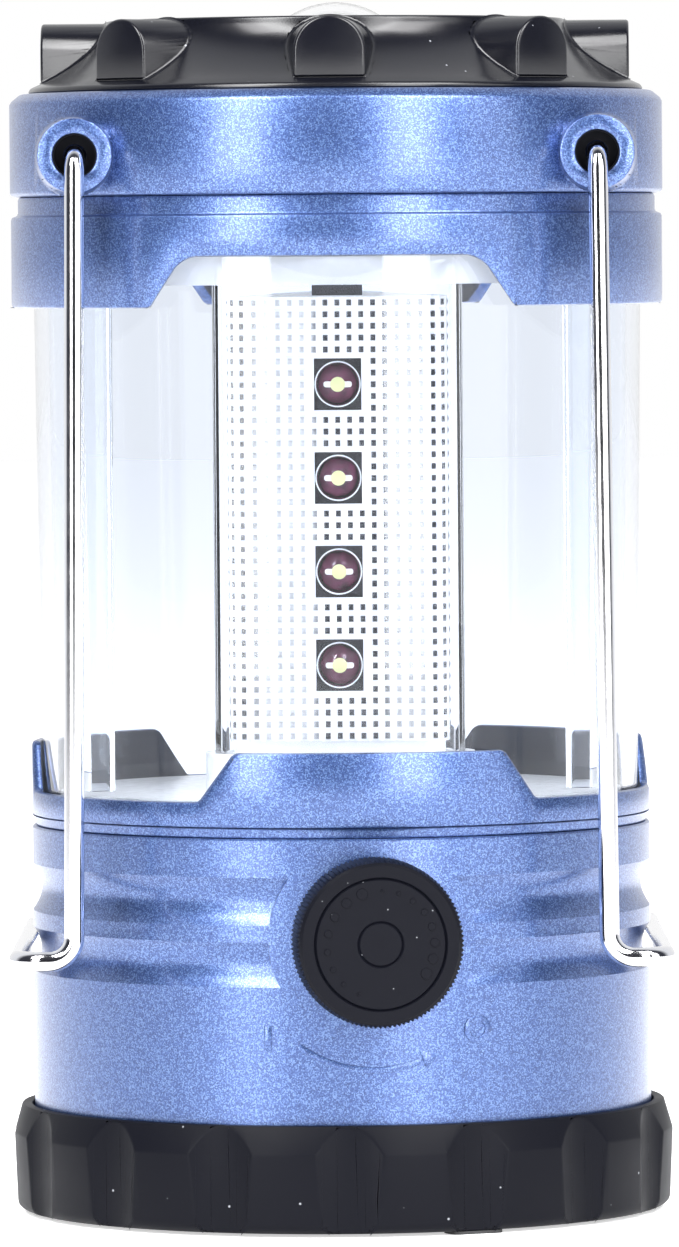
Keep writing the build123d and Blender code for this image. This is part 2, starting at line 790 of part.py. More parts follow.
def battery_leads():
    # From under the cage's plate to the driver board: one for each end of the battery.
    plate_low = housing_z - flange_t - seat_gap - cage_plate - 1
    r = lead_line - 0.3
    solids = []
    for side in (-1, 1):
        points = [(side * 20, -10, plate_low), (side * 17, -r + 2, plate_low), (side * 9, -r - 0.4, plate_low - 3.5)]
        solids.append(Rot(0, 0, lower_turn) * lead(points, [4.0]))
    return Compound(solids)


def led_leads():
    # From the driver board up through the cage plate, over the deck's underside and into the column.
    top = column_z - plinth_roof - 1.0
    r = lead_line
    x = 1.0
    solids = []
    for side in (-1, 1):
        points = [(side * x, -r, knob_z + 7), (side * x, -lead_way_y - 1.0, housing_z - 5.0),
                  (side * x, -lead_way_y, housing_z + 1.6)]
        solids.append(lead(points, [2.0]))
    return Compound(solids)


def screws(radius, start, turns, length):
    return copies(Pos(0, -radius, start) * screw(length), turns)


def build():
    plate_low = housing_z - flange_t - seat_gap - cage_plate
    pieces = {
        "base_cap": base_cap(),
        "rubber_feet": rubber_feet(),
        "carrier_clip": carrier_clip(),
        "contact_carrier": contact_carrier(),
        "base_contacts": base_contacts(),
        "base_springs": base_springs(),
        "battery_housing": battery_housing(),
        "base_seal": base_seal(),
        "battery_cage": battery_cage(),
        "battery_1": cell_place(60) * cell(True),
        "battery_2": cell_place(180) * cell(False),
        "battery_3": cell_place(300) * cell(True),
        "top_contacts": top_contacts(),
        "return_strip": return_strip(),
        "lower_shroud": lower_shroud(),
        "lower_gasket": lower_gasket(),
        "deck_reflector": deck_reflector(),
        "deck_screws": screws(screw_ring_r, plate_low, [30 + a for a in thirds], 6.4),
        "globe": globe(),
        "upper_gasket": upper_gasket(),
        "upper_collar": upper_collar(),
        "ceiling_reflector": ceiling_reflector(),
        "handle_ring": handle_ring(),
        "collar_screws": collar_screws(),
        "bail_left": bail(-1),
        "bail_right": bail(1),
        "top_cap": top_cap(),
        "cap_screws": screws(cap_screw_ring_r, ring_top - ring_floor, [90 + a for a in thirds], 5.0),
        "compass_cup": compass_cup(),
        "compass_pivot": compass_pivot(),
        "compass_card": compass_card(),
        "compass_lens": compass_lens(),
        "column_sleeve": column_sleeve(),
        "reflector_core": reflector_core(),
        "dimmer": dimmer(),
        "dimmer_washer": dimmer_washer(),
        "dimmer_nut": dimmer_nut(),
        "dimmer_shaft": dimmer_shaft(),
        "knob": knob(),
        "driver_board": driver_board(),
        "battery_leads": battery_leads(),
        "led_leads": led_leads(),
    }
    for name, angle in zip(("front", "right", "left"), thirds):
        pieces["led_board_" + name] = at_third(led_board(), angle)
        pieces["leds_" + name] = at_third(led_column(), angle)
    return pieces


def collar_screws():
    # Heads inside the handle ring, shanks down through its floor and the collar into the ceiling.
    down = Rot(180, 0, 0) * screw(7.4)
    return copies(Pos(0, -screw_ring_r, ring_z + ring_floor) * down, [30 + a for a in thirds])


os.makedirs("parts", exist_ok=True)
for node, shape in build().items():
    export_step(shape, "parts/" + node + ".step")
    print(node, len(shape.solids()))
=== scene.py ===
import bpy
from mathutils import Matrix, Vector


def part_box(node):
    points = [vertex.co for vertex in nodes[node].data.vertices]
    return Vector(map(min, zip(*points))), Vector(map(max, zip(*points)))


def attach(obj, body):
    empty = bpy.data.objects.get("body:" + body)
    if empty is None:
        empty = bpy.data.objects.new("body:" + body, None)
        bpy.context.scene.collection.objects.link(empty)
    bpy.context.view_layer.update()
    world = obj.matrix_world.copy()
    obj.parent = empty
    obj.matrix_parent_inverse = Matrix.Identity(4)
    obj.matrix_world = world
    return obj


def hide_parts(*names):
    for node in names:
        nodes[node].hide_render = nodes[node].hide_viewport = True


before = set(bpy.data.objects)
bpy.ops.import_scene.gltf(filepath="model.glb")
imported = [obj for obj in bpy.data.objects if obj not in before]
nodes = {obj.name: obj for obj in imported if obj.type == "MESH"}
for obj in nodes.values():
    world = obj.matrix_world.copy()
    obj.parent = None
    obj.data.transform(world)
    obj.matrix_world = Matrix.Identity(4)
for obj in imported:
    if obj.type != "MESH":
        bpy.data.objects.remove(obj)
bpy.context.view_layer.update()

import bpy
from math import acos, asin, atan2, cos, degrees, pi, radians, sin, sqrt
from mathutils import Matrix, Vector

mm = 0.001


def low(node):
    return [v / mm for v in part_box(node)[0]]


def high(node):
    return [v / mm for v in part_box(node)[1]]


# how the lower and upper plastics are turned about the axis, in degrees
lowerTurn = 5.8
upperTurn = -1.1
thirds = (0, 120, 240)
ribTurns = (60, 180, 300)


# ---- small helpers, one for each thing done over and over by hand ----

def deselect():
    if bpy.context.object and bpy.context.object.mode != "OBJECT":
        bpy.ops.object.mode_set(mode="OBJECT")
    bpy.ops.object.select_all(action="DESELECT")


def pick(piece):
    deselect()
    piece.select_set(True)
    bpy.context.view_layer.objects.active = piece


def editAll(piece):
    pick(piece)
    bpy.context.tool_settings.mesh_select_mode = (True, False, False)
    bpy.ops.object.mode_set(mode="EDIT")
    bpy.ops.mesh.select_all(action="SELECT")


def objectMode():
    bpy.ops.object.mode_set(mode="OBJECT")


def settle(piece):
    # place and turn go into the mesh, so the object sits at the origin
    pick(piece)
    bpy.ops.object.transform_apply(location=True, rotation=True, scale=True)


def selectWhere(piece, test, kind="faces"):
    # picks faces, edges or vertices by where they are, in millimetres
    objectMode()
    mesh = piece.data
    for group in (mesh.vertices, mesh.edges, mesh.polygons):
        for item in group:
            item.select = False
    if kind == "faces":
        for face in mesh.polygons:
            face.select = test(face.center / mm, face.normal)
    elif kind == "edges":
        for edge in mesh.edges:
            a, b = (mesh.vertices[i].co / mm for i in edge.vertices)
            edge.select = test(a, b)
    else:
        for vertex in mesh.vertices:
            vertex.select = test(vertex.co / mm)
    modes = {"faces": (False, False, True), "edges": (False, True, False), "vertices": (True, False, False)}
    bpy.context.tool_settings.mesh_select_mode = modes[kind]
    bpy.ops.object.mode_set(mode="EDIT")


def tidyMesh(piece, gap=0.002):
    editAll(piece)
    bpy.ops.mesh.remove_doubles(threshold=gap * mm)
    bpy.ops.mesh.normals_make_consistent(inside=False)
    objectMode()


def turned(name, outline, segments=160, loop=True):
    # a circle pulled and resized along (radius, height) points; a loop closes on its start, else ends are filled
    deselect()
    r, z = outline[0]
    bpy.ops.mesh.primitive_circle_add(vertices=segments, radius=r * mm, location=(0, 0, z * mm))
    piece = bpy.context.object
    piece.name = name
    settle(piece)
    editAll(piece)
    points = outline[1:] + ([outline[0]] if loop else [])
    for nextR, nextZ in points:
        bpy.ops.mesh.extrude_region_move(TRANSFORM_OT_translate={"value": (0, 0, (nextZ - z) * mm)})
        if nextR != r:
            bpy.ops.transform.resize(value=(nextR / r, nextR / r, 1), center_override=(0, 0, nextZ * mm))
        r, z = nextR, nextZ
    bpy.ops.mesh.select_all(action="SELECT")
    if not loop:
        bpy.ops.mesh.fill_holes(sides=0)
    objectMode()
    tidyMesh(piece)
    return piece


def block(name, size, place):
    deselect()
    bpy.ops.mesh.primitive_cube_add(size=1, location=[v * mm for v in place], scale=[v * mm for v in size])
    piece = bpy.context.object
    piece.name = name
    settle(piece)
    return piece


def peg(name, radius, depth, place, lean=(0, 0, 0), segments=48, radius2=None):
    deselect()
    bpy.ops.mesh.primitive_cone_add(
        vertices=segments, radius1=radius * mm, radius2=(radius if radius2 is None else radius2) * mm,
        depth=depth * mm, location=[v * mm for v in place], rotation=[radians(v) for v in lean])
    piece = bpy.context.object
    piece.name = name
    settle(piece)
    return piece


def turnCopy(piece, angle, centre=(0, 0, 0), axis="Z"):
    twin = piece.copy()
    twin.data = piece.data.copy()
    bpy.context.collection.objects.link(twin)
    spot = Matrix.Translation(Vector(centre) * mm)
    twin.data.transform(spot @ Matrix.Rotation(radians(angle), 4, axis) @ spot.inverted())
    return twin


def turn(piece, angle, axis="Z"):
    piece.data.transform(Matrix.Rotation(radians(angle), 4, axis))
    return piece


def shift(piece, x=0, y=0, z=0):
    piece.data.transform(Matrix.Translation((x * mm, y * mm, z * mm)))
    return piece


def together(pieces, name):
    pick(pieces[0])
    for piece in pieces:
        piece.select_set(True)
    if len(pieces) > 1:
        bpy.ops.object.join()
    whole = bpy.context.object
    whole.name = name
    return whole


def combine(piece, tool, way="DIFFERENCE"):
    pick(piece)
    step = piece.modifiers.new("combine", "BOOLEAN")
    step.operation = way
    step.object = tool
    step.solver = "EXACT"
    bpy.ops.object.modifier_apply(modifier=step.name)
    bpy.data.objects.remove(tool)
    return piece


def soften(piece, width, segments=2, sharp=32, smooth=38):
    # rounds every edge sharper than an angle, then shades the rest smooth
    pick(piece)
    step = piece.modifiers.new("soften", "BEVEL")
    step.width = width * mm
    step.segments = segments
    step.limit_method = "ANGLE"
    step.angle_limit = radians(sharp)
    step.use_clamp_overlap = False
    bpy.ops.object.modifier_apply(modifier=step.name)
    shade(piece, smooth)
    return piece


def shade(piece, smooth=38):
    pick(piece)
    bpy.ops.object.shade_smooth_by_angle(angle=radians(smooth))


def trapezium(name, lowHalf, topHalf, z0, z1, reach, corner):
    # a block out along -Y whose top is narrower than its foot, with round upper corners
    piece = block(name, (2 * lowHalf, reach, z1 - z0), (0, -reach / 2, (z0 + z1) / 2))
    selectWhere(piece, lambda v: v.z > z1 - 0.01, "vertices")
    bpy.ops.transform.resize(value=(topHalf / lowHalf, 1, 1), center_override=(0, 0, 0))
    objectMode()
    if corner:
        selectWhere(piece, lambda a, b: min(a.z, b.z) > z1 - 0.01 and abs(a.x - b.x) < 0.01, "edges")
        bpy.ops.mesh.bevel(offset=corner * mm, segments=8, affect="EDGES")
        objectMode()
    return piece


def finish(piece, body, material, slotName, *replaced):
    piece.data.materials.clear()
    piece.data.materials.append(material)
    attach(piece, body)
    if replaced:
        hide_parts(*replaced)
    return piece


def lineInside(piece, material):
    # the inner faces of a painted shell get a dark slate finish
    piece.data.materials.append(material)
    selectWhere(piece, lambda c, n: n.x * c.x + n.y * c.y < -0.5 * sqrt(c.x ** 2 + c.y ** 2))
    piece.active_material_index = 1
    bpy.ops.object.material_slot_assign()
    objectMode()


# ---- camera first, level with the top of the globe and looking slightly down ----

view = {"away": 1.290, "height": 0.1233, "pitch": 2.15, "roll": -0.447, "lens": 291.0}


def setCamera():
    data = bpy.data.cameras.new("camera")
    data.lens = view["lens"]
    data.sensor_fit = "VERTICAL"
    data.sensor_height = 36
    data.clip_start = 0.05
    camera = bpy.data.objects.new("camera", data)
    bpy.context.collection.objects.link(camera)
    stand = Matrix.Translation((0, -view["away"], view["height"]))
    tilt = Matrix.Rotation(radians(90 - view["pitch"]), 4, "X")
    camera.matrix_world = stand @ tilt @ Matrix.Rotation(radians(view["roll"]), 4, "Z")
    bpy.context.scene.camera = camera


setCamera()


# ---- finishes ----

def newFinish(name, **inputs):
    finishMat = bpy.data.materials.new(name)
    finishMat.use_nodes = True
    tree = finishMat.node_tree
    shader = tree.nodes["Principled BSDF"]
    for key, value in inputs.items():
        shader.inputs[key.replace("_", " ")].default_value = value
    return finishMat, tree, shader


def patterned(tree, kind, scale, source="Object", **inputs):
    # a texture that reads the piece's own place
    place = tree.nodes.new("ShaderNodeTexCoord")
    texture = tree.nodes.new(kind)
    tree.links.new(place.outputs[source], texture.inputs["Vector"])
    texture.inputs["Scale"].default_value = scale
    for key, value in inputs.items():
        texture.inputs[key].default_value = value
    return texture


def ramp(tree, source, stops):
    blendNode = tree.nodes.new("ShaderNodeValToRGB")
    for i, (place, colour) in enumerate(stops):
        element = blendNode.color_ramp.elements[i] if i < 2 else blendNode.color_ramp.elements.new(place)
        element.position = place
        element.color = (*colour, 1)
    tree.links.new(source, blendNode.inputs["Fac"])
    return blendNode


def bumpy(tree, shader, source, depth, strength=1.0):
    bump = tree.nodes.new("ShaderNodeBump")
    bump.inputs["Strength"].default_value = strength
    bump.inputs["Distance"].default_value = depth * mm
    tree.links.new(source, bump.inputs["Height"])
    tree.links.new(bump.outputs["Normal"], shader.inputs["Normal"])
    return bump


def toRoughness(tree, shader, source, least, most):
    span = tree.nodes.new("ShaderNodeMapRange")
    span.inputs["To Min"].default_value = least
    span.inputs["To Max"].default_value = most
    tree.links.new(source, span.inputs["Value"])
    tree.links.new(span.outputs["Result"], shader.inputs["Roughness"])


def makeBluePaint():
    # metallic lacquer: fine bright flakes in a deep blue, under a slightly uneven clear coat
    paint, tree, shader = newFinish("bluePaint", Metallic=0.78, Coat_Weight=0.7, Coat_Roughness=0.22)
    flakes = patterned(tree, "ShaderNodeTexVoronoi", 6800)
    colours = ramp(tree, flakes.outputs["Color"], [
        (0.0, (0.019, 0.038, 0.12)), (0.5, (0.042, 0.082, 0.24)), (0.85, (0.12, 0.20, 0.41))])
    tree.links.new(colours.outputs["Color"], shader.inputs["Base Color"])
    toRoughness(tree, shader, flakes.outputs["Distance"], 0.28, 0.43)
    grain = patterned(tree, "ShaderNodeTexNoise", 3600, Detail=3.0)
    bumpy(tree, shader, grain.outputs["Fac"], 0.03, 0.6)
    return paint


def makeBlackPlastic(name, roughness, specks, gloss):
    # moulded black plastic with a soft sheen and a little dust
    plastic, tree, shader = newFinish(name, Specular_IOR_Level=gloss)
    dust = patterned(tree, "ShaderNodeTexVoronoi", specks, Randomness=1.0)
    colours = ramp(tree, dust.outputs["Distance"], [
        (0.0, (0.30, 0.31, 0.34)), (0.03, (0.22, 0.23, 0.25)), (0.045, (0.0035, 0.0038, 0.0065))])
    tree.links.new(colours.outputs["Color"], shader.inputs["Base Color"])
    cloud = patterned(tree, "ShaderNodeTexNoise", 160, Detail=6.0)
    toRoughness(tree, shader, cloud.outputs["Fac"], roughness - 0.07, roughness + 0.1)
    grain = patterned(tree, "ShaderNodeTexNoise", 5200, Detail=2.0)
    bumpy(tree, shader, grain.outputs["Fac"], 0.008, 0.5)
    return plastic


def makeChrome():
    chrome, tree, shader = newFinish("chromeWire", Base_Color=(0.80, 0.80, 0.82, 1), Metallic=1.0)
    drawn = patterned(tree, "ShaderNodeTexNoise", 260, Detail=3.0)
    toRoughness(tree, shader, drawn.outputs["Fac"], 0.06, 0.16)
    bumpy(tree, shader, drawn.outputs["Fac"], 0.006, 0.2)
    return chrome


def makeClear(name, tint):
    clear, tree, shader = newFinish(
        name, Base_Color=(*tint, 1), Transmission_Weight=1.0, IOR=1.3, Roughness=0.0)
    ripple = patterned(tree, "ShaderNodeTexNoise", 60, Detail=1.0)
    bumpy(tree, shader, ripple.outputs["Fac"], 0.02, 0.15)
    return clear


def makeMilky():
    # clear plastic gone cloudy where the globe sits in its seat, with a faint glow that is painted light
    milky, tree, shader = newFinish("rimMilky", Transmission_Weight=0.55, IOR=1.2, Emission_Strength=0.12)
    cloud = patterned(tree, "ShaderNodeTexNoise", 500, Detail=3.0)
    colours = ramp(tree, cloud.outputs["Fac"], [(0.3, (0.80, 0.82, 0.86)), (0.7, (0.88, 0.90, 0.93))])
    tree.links.new(colours.outputs["Color"], shader.inputs["Base Color"])
    toRoughness(tree, shader, cloud.outputs["Fac"], 0.05, 0.15)
    return milky


def makePlain(name, colour, roughness, metallic=0.0, grainScale=900, grainDepth=0.01, spread=0.08, glow=0.0):
    # a moulded or stamped finish with a fine grain and slightly uneven gloss; a glow, when given, is painted light
    plain, tree, shader = newFinish(name, Metallic=metallic, Emission_Strength=glow)
    grain = patterned(tree, "ShaderNodeTexNoise", grainScale, Detail=4.0)
    dark = tuple(c * (1 - spread) for c in colour)
    light = tuple(min(1, c * (1 + spread)) for c in colour)
    colours = ramp(tree, grain.outputs["Fac"], [(0.3, dark), (0.7, light)])
    tree.links.new(colours.outputs["Color"], shader.inputs["Base Color"])
    toRoughness(tree, shader, grain.outputs["Fac"], roughness * 0.8, roughness * 1.25)
    bumpy(tree, shader, grain.outputs["Fac"], grainDepth, 0.4)
    # the glow is painted light: none of these parts is a lamp
    if glow:
        tree.links.new(colours.outputs["Color"], shader.inputs["Emission Color"])
    return plain


def stripes(tree, source, count, stops):
    # the same ramp again in every one of so many steps
    scaled = tree.nodes.new("ShaderNodeMath")
    scaled.operation = "MULTIPLY"
    scaled.inputs[1].default_value = count
    tree.links.new(source, scaled.inputs[0])
    part = tree.nodes.new("ShaderNodeMath")
    part.operation = "FRACT"
    tree.links.new(scaled.outputs[0], part.inputs[0])
    return ramp(tree, part.outputs[0], stops)


def timesAll(tree, *sources):
    product = sources[0]
    for source in sources[1:]:
        step = tree.nodes.new("ShaderNodeMath")
        step.operation = "MULTIPLY"
        tree.links.new(product, step.inputs[0])
        tree.links.new(source, step.inputs[1])
        product = step.outputs[0]
    return product


def makePrismFinish(name, across, up, strength):
    # bright prisms that glow with painted light, each with a painted dark reflection spot in its hollow and a faint
    # line round it
    prism, tree, shader = newFinish(name, Metallic=0.1, Roughness=0.25, Emission_Strength=0.2)
    place = tree.nodes.new("ShaderNodeUVMap")
    split = tree.nodes.new("ShaderNodeSeparateXYZ")
    tree.links.new(place.outputs["UV"], split.inputs["Vector"])
    white, black = (1, 1, 1), (0, 0, 0)
    spotX = stripes(tree, split.outputs["X"], across, [
        (0.22, black), (0.30, white), (0.66, white), (0.74, black)])
    spotY = stripes(tree, split.outputs["Y"], up, [(0.18, black), (0.26, white), (0.70, white), (0.78, black)])
    where = ramp(tree, split.outputs["X"], strength)
    paintedReflectionSpots = timesAll(tree, spotX.outputs["Color"], spotY.outputs["Color"], where.outputs["Color"])
    colours = ramp(tree, paintedReflectionSpots, [(0.0, (0.90, 0.91, 0.93)), (1.0, (0.015, 0.017, 0.025))])
    tree.links.new(colours.outputs["Color"], shader.inputs["Base Color"])
    # the prisms glow: painted light, they are no lamp
    tree.links.new(colours.outputs["Color"], shader.inputs["Emission Color"])
    return prism


bluePaint = makeBluePaint()
capBlack = makeBlackPlastic("capBlack", 0.20, 260, 0.45)
baseBlack = makeBlackPlastic("baseBlack", 0.42, 240, 0.08)
knobBlack = makeBlackPlastic("knobBlack", 0.40, 420, 0.08)
insideSlate = makePlain("insideSlate", (0.055, 0.062, 0.085), 0.45)
chromeWire = makeChrome()
globeClear = makeClear("globeClear", (0.905, 0.935, 0.985))
sleeveClear = makeClear("sleeveClear", (0.975, 0.982, 0.995))
rimMilky = makeMilky()
lensClear = makeClear("lensClear", (1.0, 1.0, 1.0))
# whiteGloss and silverPlain glow: painted light on the white deck, card and core, which are no lamps
whiteGloss = makePlain("whiteGloss", (0.84, 0.86, 0.89), 0.22, glow=0.15)
silverPlain = makePlain("silverPlain", (0.92, 0.93, 0.94), 0.3, metallic=0.15, spread=0.03, glow=0.2)
# how strong the painted reflection spots are across each flat: fainter near the left and at the right edge
flatPrisms = makePrismFinish("flatPrisms", 15, 38, [
    (0.0, (0.9, 0.9, 0.9)), (0.10, (0.45, 0.45, 0.45)), (0.34, (0.45, 0.45, 0.45)), (0.40, (1, 1, 1)),
    (0.74, (1, 1, 1)), (0.80, (0.6, 0.6, 0.6))])
cornerPrisms = makePrismFinish("cornerPrisms", 12, 38, [(0.0, (1, 1, 1)), (1.0, (1, 1, 1))])
rubber = makePlain("rubber", (0.025, 0.025, 0.027), 0.7, spread=0.2)
steel = makePlain("steel", (0.55, 0.55, 0.56), 0.32, metallic=1.0)
brassPlate = makePlain("brassPlate", (0.70, 0.52, 0.24), 0.3, metallic=1.0)
boardGreen = makePlain("boardGreen", (0.03, 0.16, 0.07), 0.4)
cellJacket = makePlain("cellJacket", (0.10, 0.11, 0.13), 0.3)
leadRed = makePlain("leadRed", (0.45, 0.04, 0.03), 0.45)
ledDome = makePlain("ledDome", (0.12, 0.026, 0.060), 0.12, grainScale=700, spread=0.6)
# the LED chip and wings glow: painted light, the LEDs are not lit
ledCore = makePlain("ledCore", (0.80, 0.82, 0.40), 0.3, spread=0.02, glow=0.1)
ledWhite = makePlain("ledWhite", (0.92, 0.92, 0.88), 0.3, spread=0.02, glow=0.15)
ledDark = makePlain("ledDark", (0.010, 0.010, 0.013), 0.45, grainScale=1800, spread=0.95)
# the ceiling reflector's glow is painted light
reflectorSilver = makePlain("reflectorSilver", (0.93, 0.94, 0.96), 0.1, metallic=0.8, grainDepth=0.003, spread=0.02, glow=0.12)
print("finishes made")


# ---- base cap ----

base = {"wide": 42.3, "lowDraft": 0.4, "cone": 3.6, "rimOut": 1.6, "under": 1.3, "floor": 1.7,
        "flutes": 16, "fluteWide": 8.4, "fluteDeep": 1.15, "fluteTurn": 1.0, "edge": 0.22}


def makeBaseCap():
    z0 = low("base_cap")[2]
    rim = high("base_cap")[2]
    housingR = high("lower_shroud")[0]
    wide, bottomR = base["wide"], base["wide"] - base["lowDraft"]
    boreR = housingR + 0.3
    outline = [(12, z0), (33, z0), (33, z0 + 0.5), (34, z0 + 0.5), (34, z0)]
    for i in range(7):
        angle = radians(15 * i)
        outline.append((bottomR - base["under"] * (1 - sin(angle)), z0 + base["under"] * (1 - cos(angle))))
    outline += [(wide, rim - base["cone"]), (housingR + base["rimOut"], rim), (boreR, rim),
                (boreR, rim - 1.8), (boreR - 1.3, rim - 1.8), (boreR - 1.3, z0 + base["floor"]),
                (12, z0 + base["floor"])]
    cap = turned("baseCap", outline, 288, loop=False)
    sag = base["fluteDeep"] - (wide - sqrt(wide ** 2 - base["fluteWide"] ** 2 / 4))
    cutR = (base["fluteWide"] ** 2 / 4 + sag ** 2) / (2 * sag)
    first = peg("flute", cutR, 30, (0, -(wide - base["fluteDeep"] + cutR), z0 + 7), segments=160)
    cutters = [turnCopy(first, base["fluteTurn"] + 360 / base["flutes"] * i) for i in range(base["flutes"])]
    bpy.data.objects.remove(first)
    combine(cap, together(cutters, "flutes"))
    tidyMesh(cap)
    soften(cap, base["edge"], 2, 18, 30)
    finish(cap, "base_cap", baseBlack, "black_plastic", "base_cap")


# ---- battery housing with its grip grooves, knob pad and raised marks ----

housing = {"grooves": ((7.8, 6.0, 1.14), (15.7, 5.6, 1.0)), "padR": 13.0, "steps": 14, "wall": 2.2,
           "stepIn": 1.6, "spigotWall": 1.9, "flangeR": 29.5, "edge": 0.22}
marks = {"r": 16.2, "wide": 0.8, "from": -126, "to": -68, "up": 0.16}
knobDrop = 12.6


def knobHeight():
    return high("battery_housing")[2] - knobDrop


def faceOut(piece):
    # from a front view drawn on the floor plane to the knob's place on the housing
    turn(piece, 90, "X")
    shift(piece, z=knobHeight())
    return turn(piece, lowerTurn)


def makeHousing():
    s = housing
    top = high("battery_housing")[2]
    foot = low("battery_housing")[2]
    rim = high("base_cap")[2]
    r = high("lower_shroud")[0]
    spigotR = r - s["stepIn"]
    inR = spigotR - s["spigotWall"]
    sealTop = high("base_seal")[2]
    sealLow = low("base_seal")[2]
    body = turned("batteryHousing", [
        (inR, foot), (spigotR, foot), (spigotR, sealLow), (spigotR - 1, sealLow), (spigotR - 1, sealTop),
        (spigotR, sealTop), (spigotR, rim - 1.5), (r, rim - 1.5), (r, top - s["edge"]), (r - s["edge"], top),
        (s["flangeR"], top),
        (s["flangeR"], top - 2), (r - s["wall"], top - 2), (r - s["wall"], rim + 1), (inR, rim - 1)], 288)
    for drop, wide, deep in s["grooves"]:
        outline = [(r + 3, top - drop - wide / 2 * 1.02), (r + 3, top - drop + wide / 2 * 1.02)]
        for i in range(s["steps"] + 1):
            t = 1.02 - 2.04 * i / s["steps"]
            outline.append((r - deep * (1 - t * t), top - drop + wide / 2 * t))
        groove = turned("groove", outline, 288)
        combine(groove, faceOut(peg("plug", s["padR"], 60, (0, 0, 30), segments=160)))
        combine(body, groove)
    combine(body, faceOut(peg("bore", 4.0, 30, (0, 0, 38), segments=64)))
    tidyMesh(body)
    shade(body, 24)
    finish(body, "root", bluePaint, "blue_paint", "battery_housing")


def makeMarks():
    # the curved arrow, bar and ring in low relief round the knob
    s = marks
    r, half = s["r"], s["wide"] / 2
    skinR = high("lower_shroud")[0]
    shapes = [turned("arc", [(r - half, 20), (r + half, 20), (r + half, 45), (r - half, 45)], 180)]
    deselect()
    wedge = peg("wedge", 30, 60, (0, 0, 32), segments=3)
    mid = radians((s["from"] + s["to"]) / 2)
    half0 = radians((s["to"] - s["from"]) / 2)
    corners = [(0, 0), (40 * cos(mid - half0), 40 * sin(mid - half0)), (40 * cos(mid + half0), 40 * sin(mid + half0))]
    order = sorted(wedge.data.vertices, key=lambda v: v.co.z)
    for level in (order[:3], order[3:]):
        level.sort(key=lambda v: atan2(v.co.y, v.co.x))
        for vertex, (x, y) in zip(level, corners):
            vertex.co.x, vertex.co.y = x * mm, y * mm
    tidyMesh(wedge)
    combine(shapes[0], wedge, "INTERSECT")
    tip = peg("tip", 1.5, 25, (r, 0.75, 32.5), segments=3)
    shapes.append(turn(tip, s["to"]))
    shapes.append(block("bar", (0.85, 3.3, 25), (18 * cos(radians(223)), 18 * sin(radians(223)), 32.5)))
    hoop = turned("hoop", [(1.0, 20), (1.75, 20), (1.75, 45), (1.0, 45)], 48)
    shapes.append(shift(hoop, x=17.4 * cos(radians(-41)), y=17.4 * sin(radians(-41))))
    z0, z1 = high("base_cap")[2] + 1, high("battery_housing")[2] - 1
    pieces = []
    for shape in shapes:
        skin = turned("skin", [(skinR - 0.5, z0), (skinR + s["up"], z0), (skinR + s["up"], z1), (skinR - 0.5, z1)],
                      288)
        pieces.append(combine(skin, faceOut(shape), "INTERSECT"))
    whole = together(pieces, "dimmerMarks")
    tidyMesh(whole)
    soften(whole, 0.08, 2, 40, 40)
    finish(whole, "root", bluePaint, "blue_paint")


# ---- lower shroud with its three tabs ----

shroud = {"wall": 1.2, "band": 1.3, "bandIn": 0.4, "rim": 3.2, "lowHalf": 32.4, "topHalf": 25.4, "corner": 0.7,
          "edge": 0.42}


def makeShroud():
    z0, z1 = low("lower_shroud")[2], high("lower_shroud")[2]
    r = high("lower_shroud")[0]
    rIn = r - shroud["wall"]
    rim = z0 + shroud["band"] + shroud["rim"]
    body = turned("lowerShroud", [(rIn, z0), (r - shroud["bandIn"], z0),
                                  (r - shroud["bandIn"], z0 + shroud["band"]),
                                  (r, z0 + shroud["band"]), (r, z1), (rIn, z1)], 288)
    between = turned("between", [(rIn - 2, rim), (r + 2, rim), (r + 2, z1 + 2), (rIn - 2, z1 + 2)], 96)
    for angle in thirds:
        tab = trapezium("tab", r * sin(radians(shroud["lowHalf"])), r * sin(radians(shroud["topHalf"])),
                        rim, z1, r + 8, shroud["corner"])
        combine(between, turn(tab, lowerTurn + angle))
    combine(body, between)
    tidyMesh(body)
    soften(body, shroud["edge"], 2, 30, 34)
    finish(body, "root", bluePaint, "blue_paint", "lower_shroud")
    lineInside(body, insideSlate)


# ---- upper collar with its three arched windows ----

collar = {"wall": 2.2, "neckIn": 0.9, "neck": 2.5, "drop": 5.2, "lowHalf": 32.9, "topHalf": 26.4, "corner": 2.0,
          "edge": 0.45}


def makeCollar():
    z0, z1 = low("upper_collar")[2], high("upper_collar")[2]
    r = collarR = 41.6
    neckZ = z1 - collar["neck"]
    body = turned("upperCollar", [
        (r - collar["wall"], z0), (r, z0), (r, neckZ), (r - collar["neckIn"], neckZ), (r - collar["neckIn"], z1),
        (r - 9, z1), (r - 9, z1 - 2.1), (r - collar["wall"], z1 - 2.1)], 288)
    for angle in thirds:
        hole = trapezium("window", collarR * sin(radians(collar["lowHalf"])) * 1.035,
                         collarR * sin(radians(collar["topHalf"])), z0 - 1, neckZ - collar["drop"], r + 8,
                         collar["corner"])
        combine(body, turn(hole, upperTurn + angle))
    tidyMesh(body)
    soften(body, collar["edge"], 2, 30, 34)
    finish(body, "root", bluePaint, "blue_paint", "upper_collar")
    lineInside(body, insideSlate)


# ---- handle ring with four pivot bosses ----

handleRing = {"r": 41.7, "wall": 2.4, "chamfer": 1.4, "faceR": 4.7, "taper": 0.045, "rootY": 15.0, "faceY": 32.8,
              "pivotX": 32.59, "pivotUp": 5.0, "holeR": 2.75, "holeDeep": 3.0, "boreR": 1.33, "edge": 0.3}


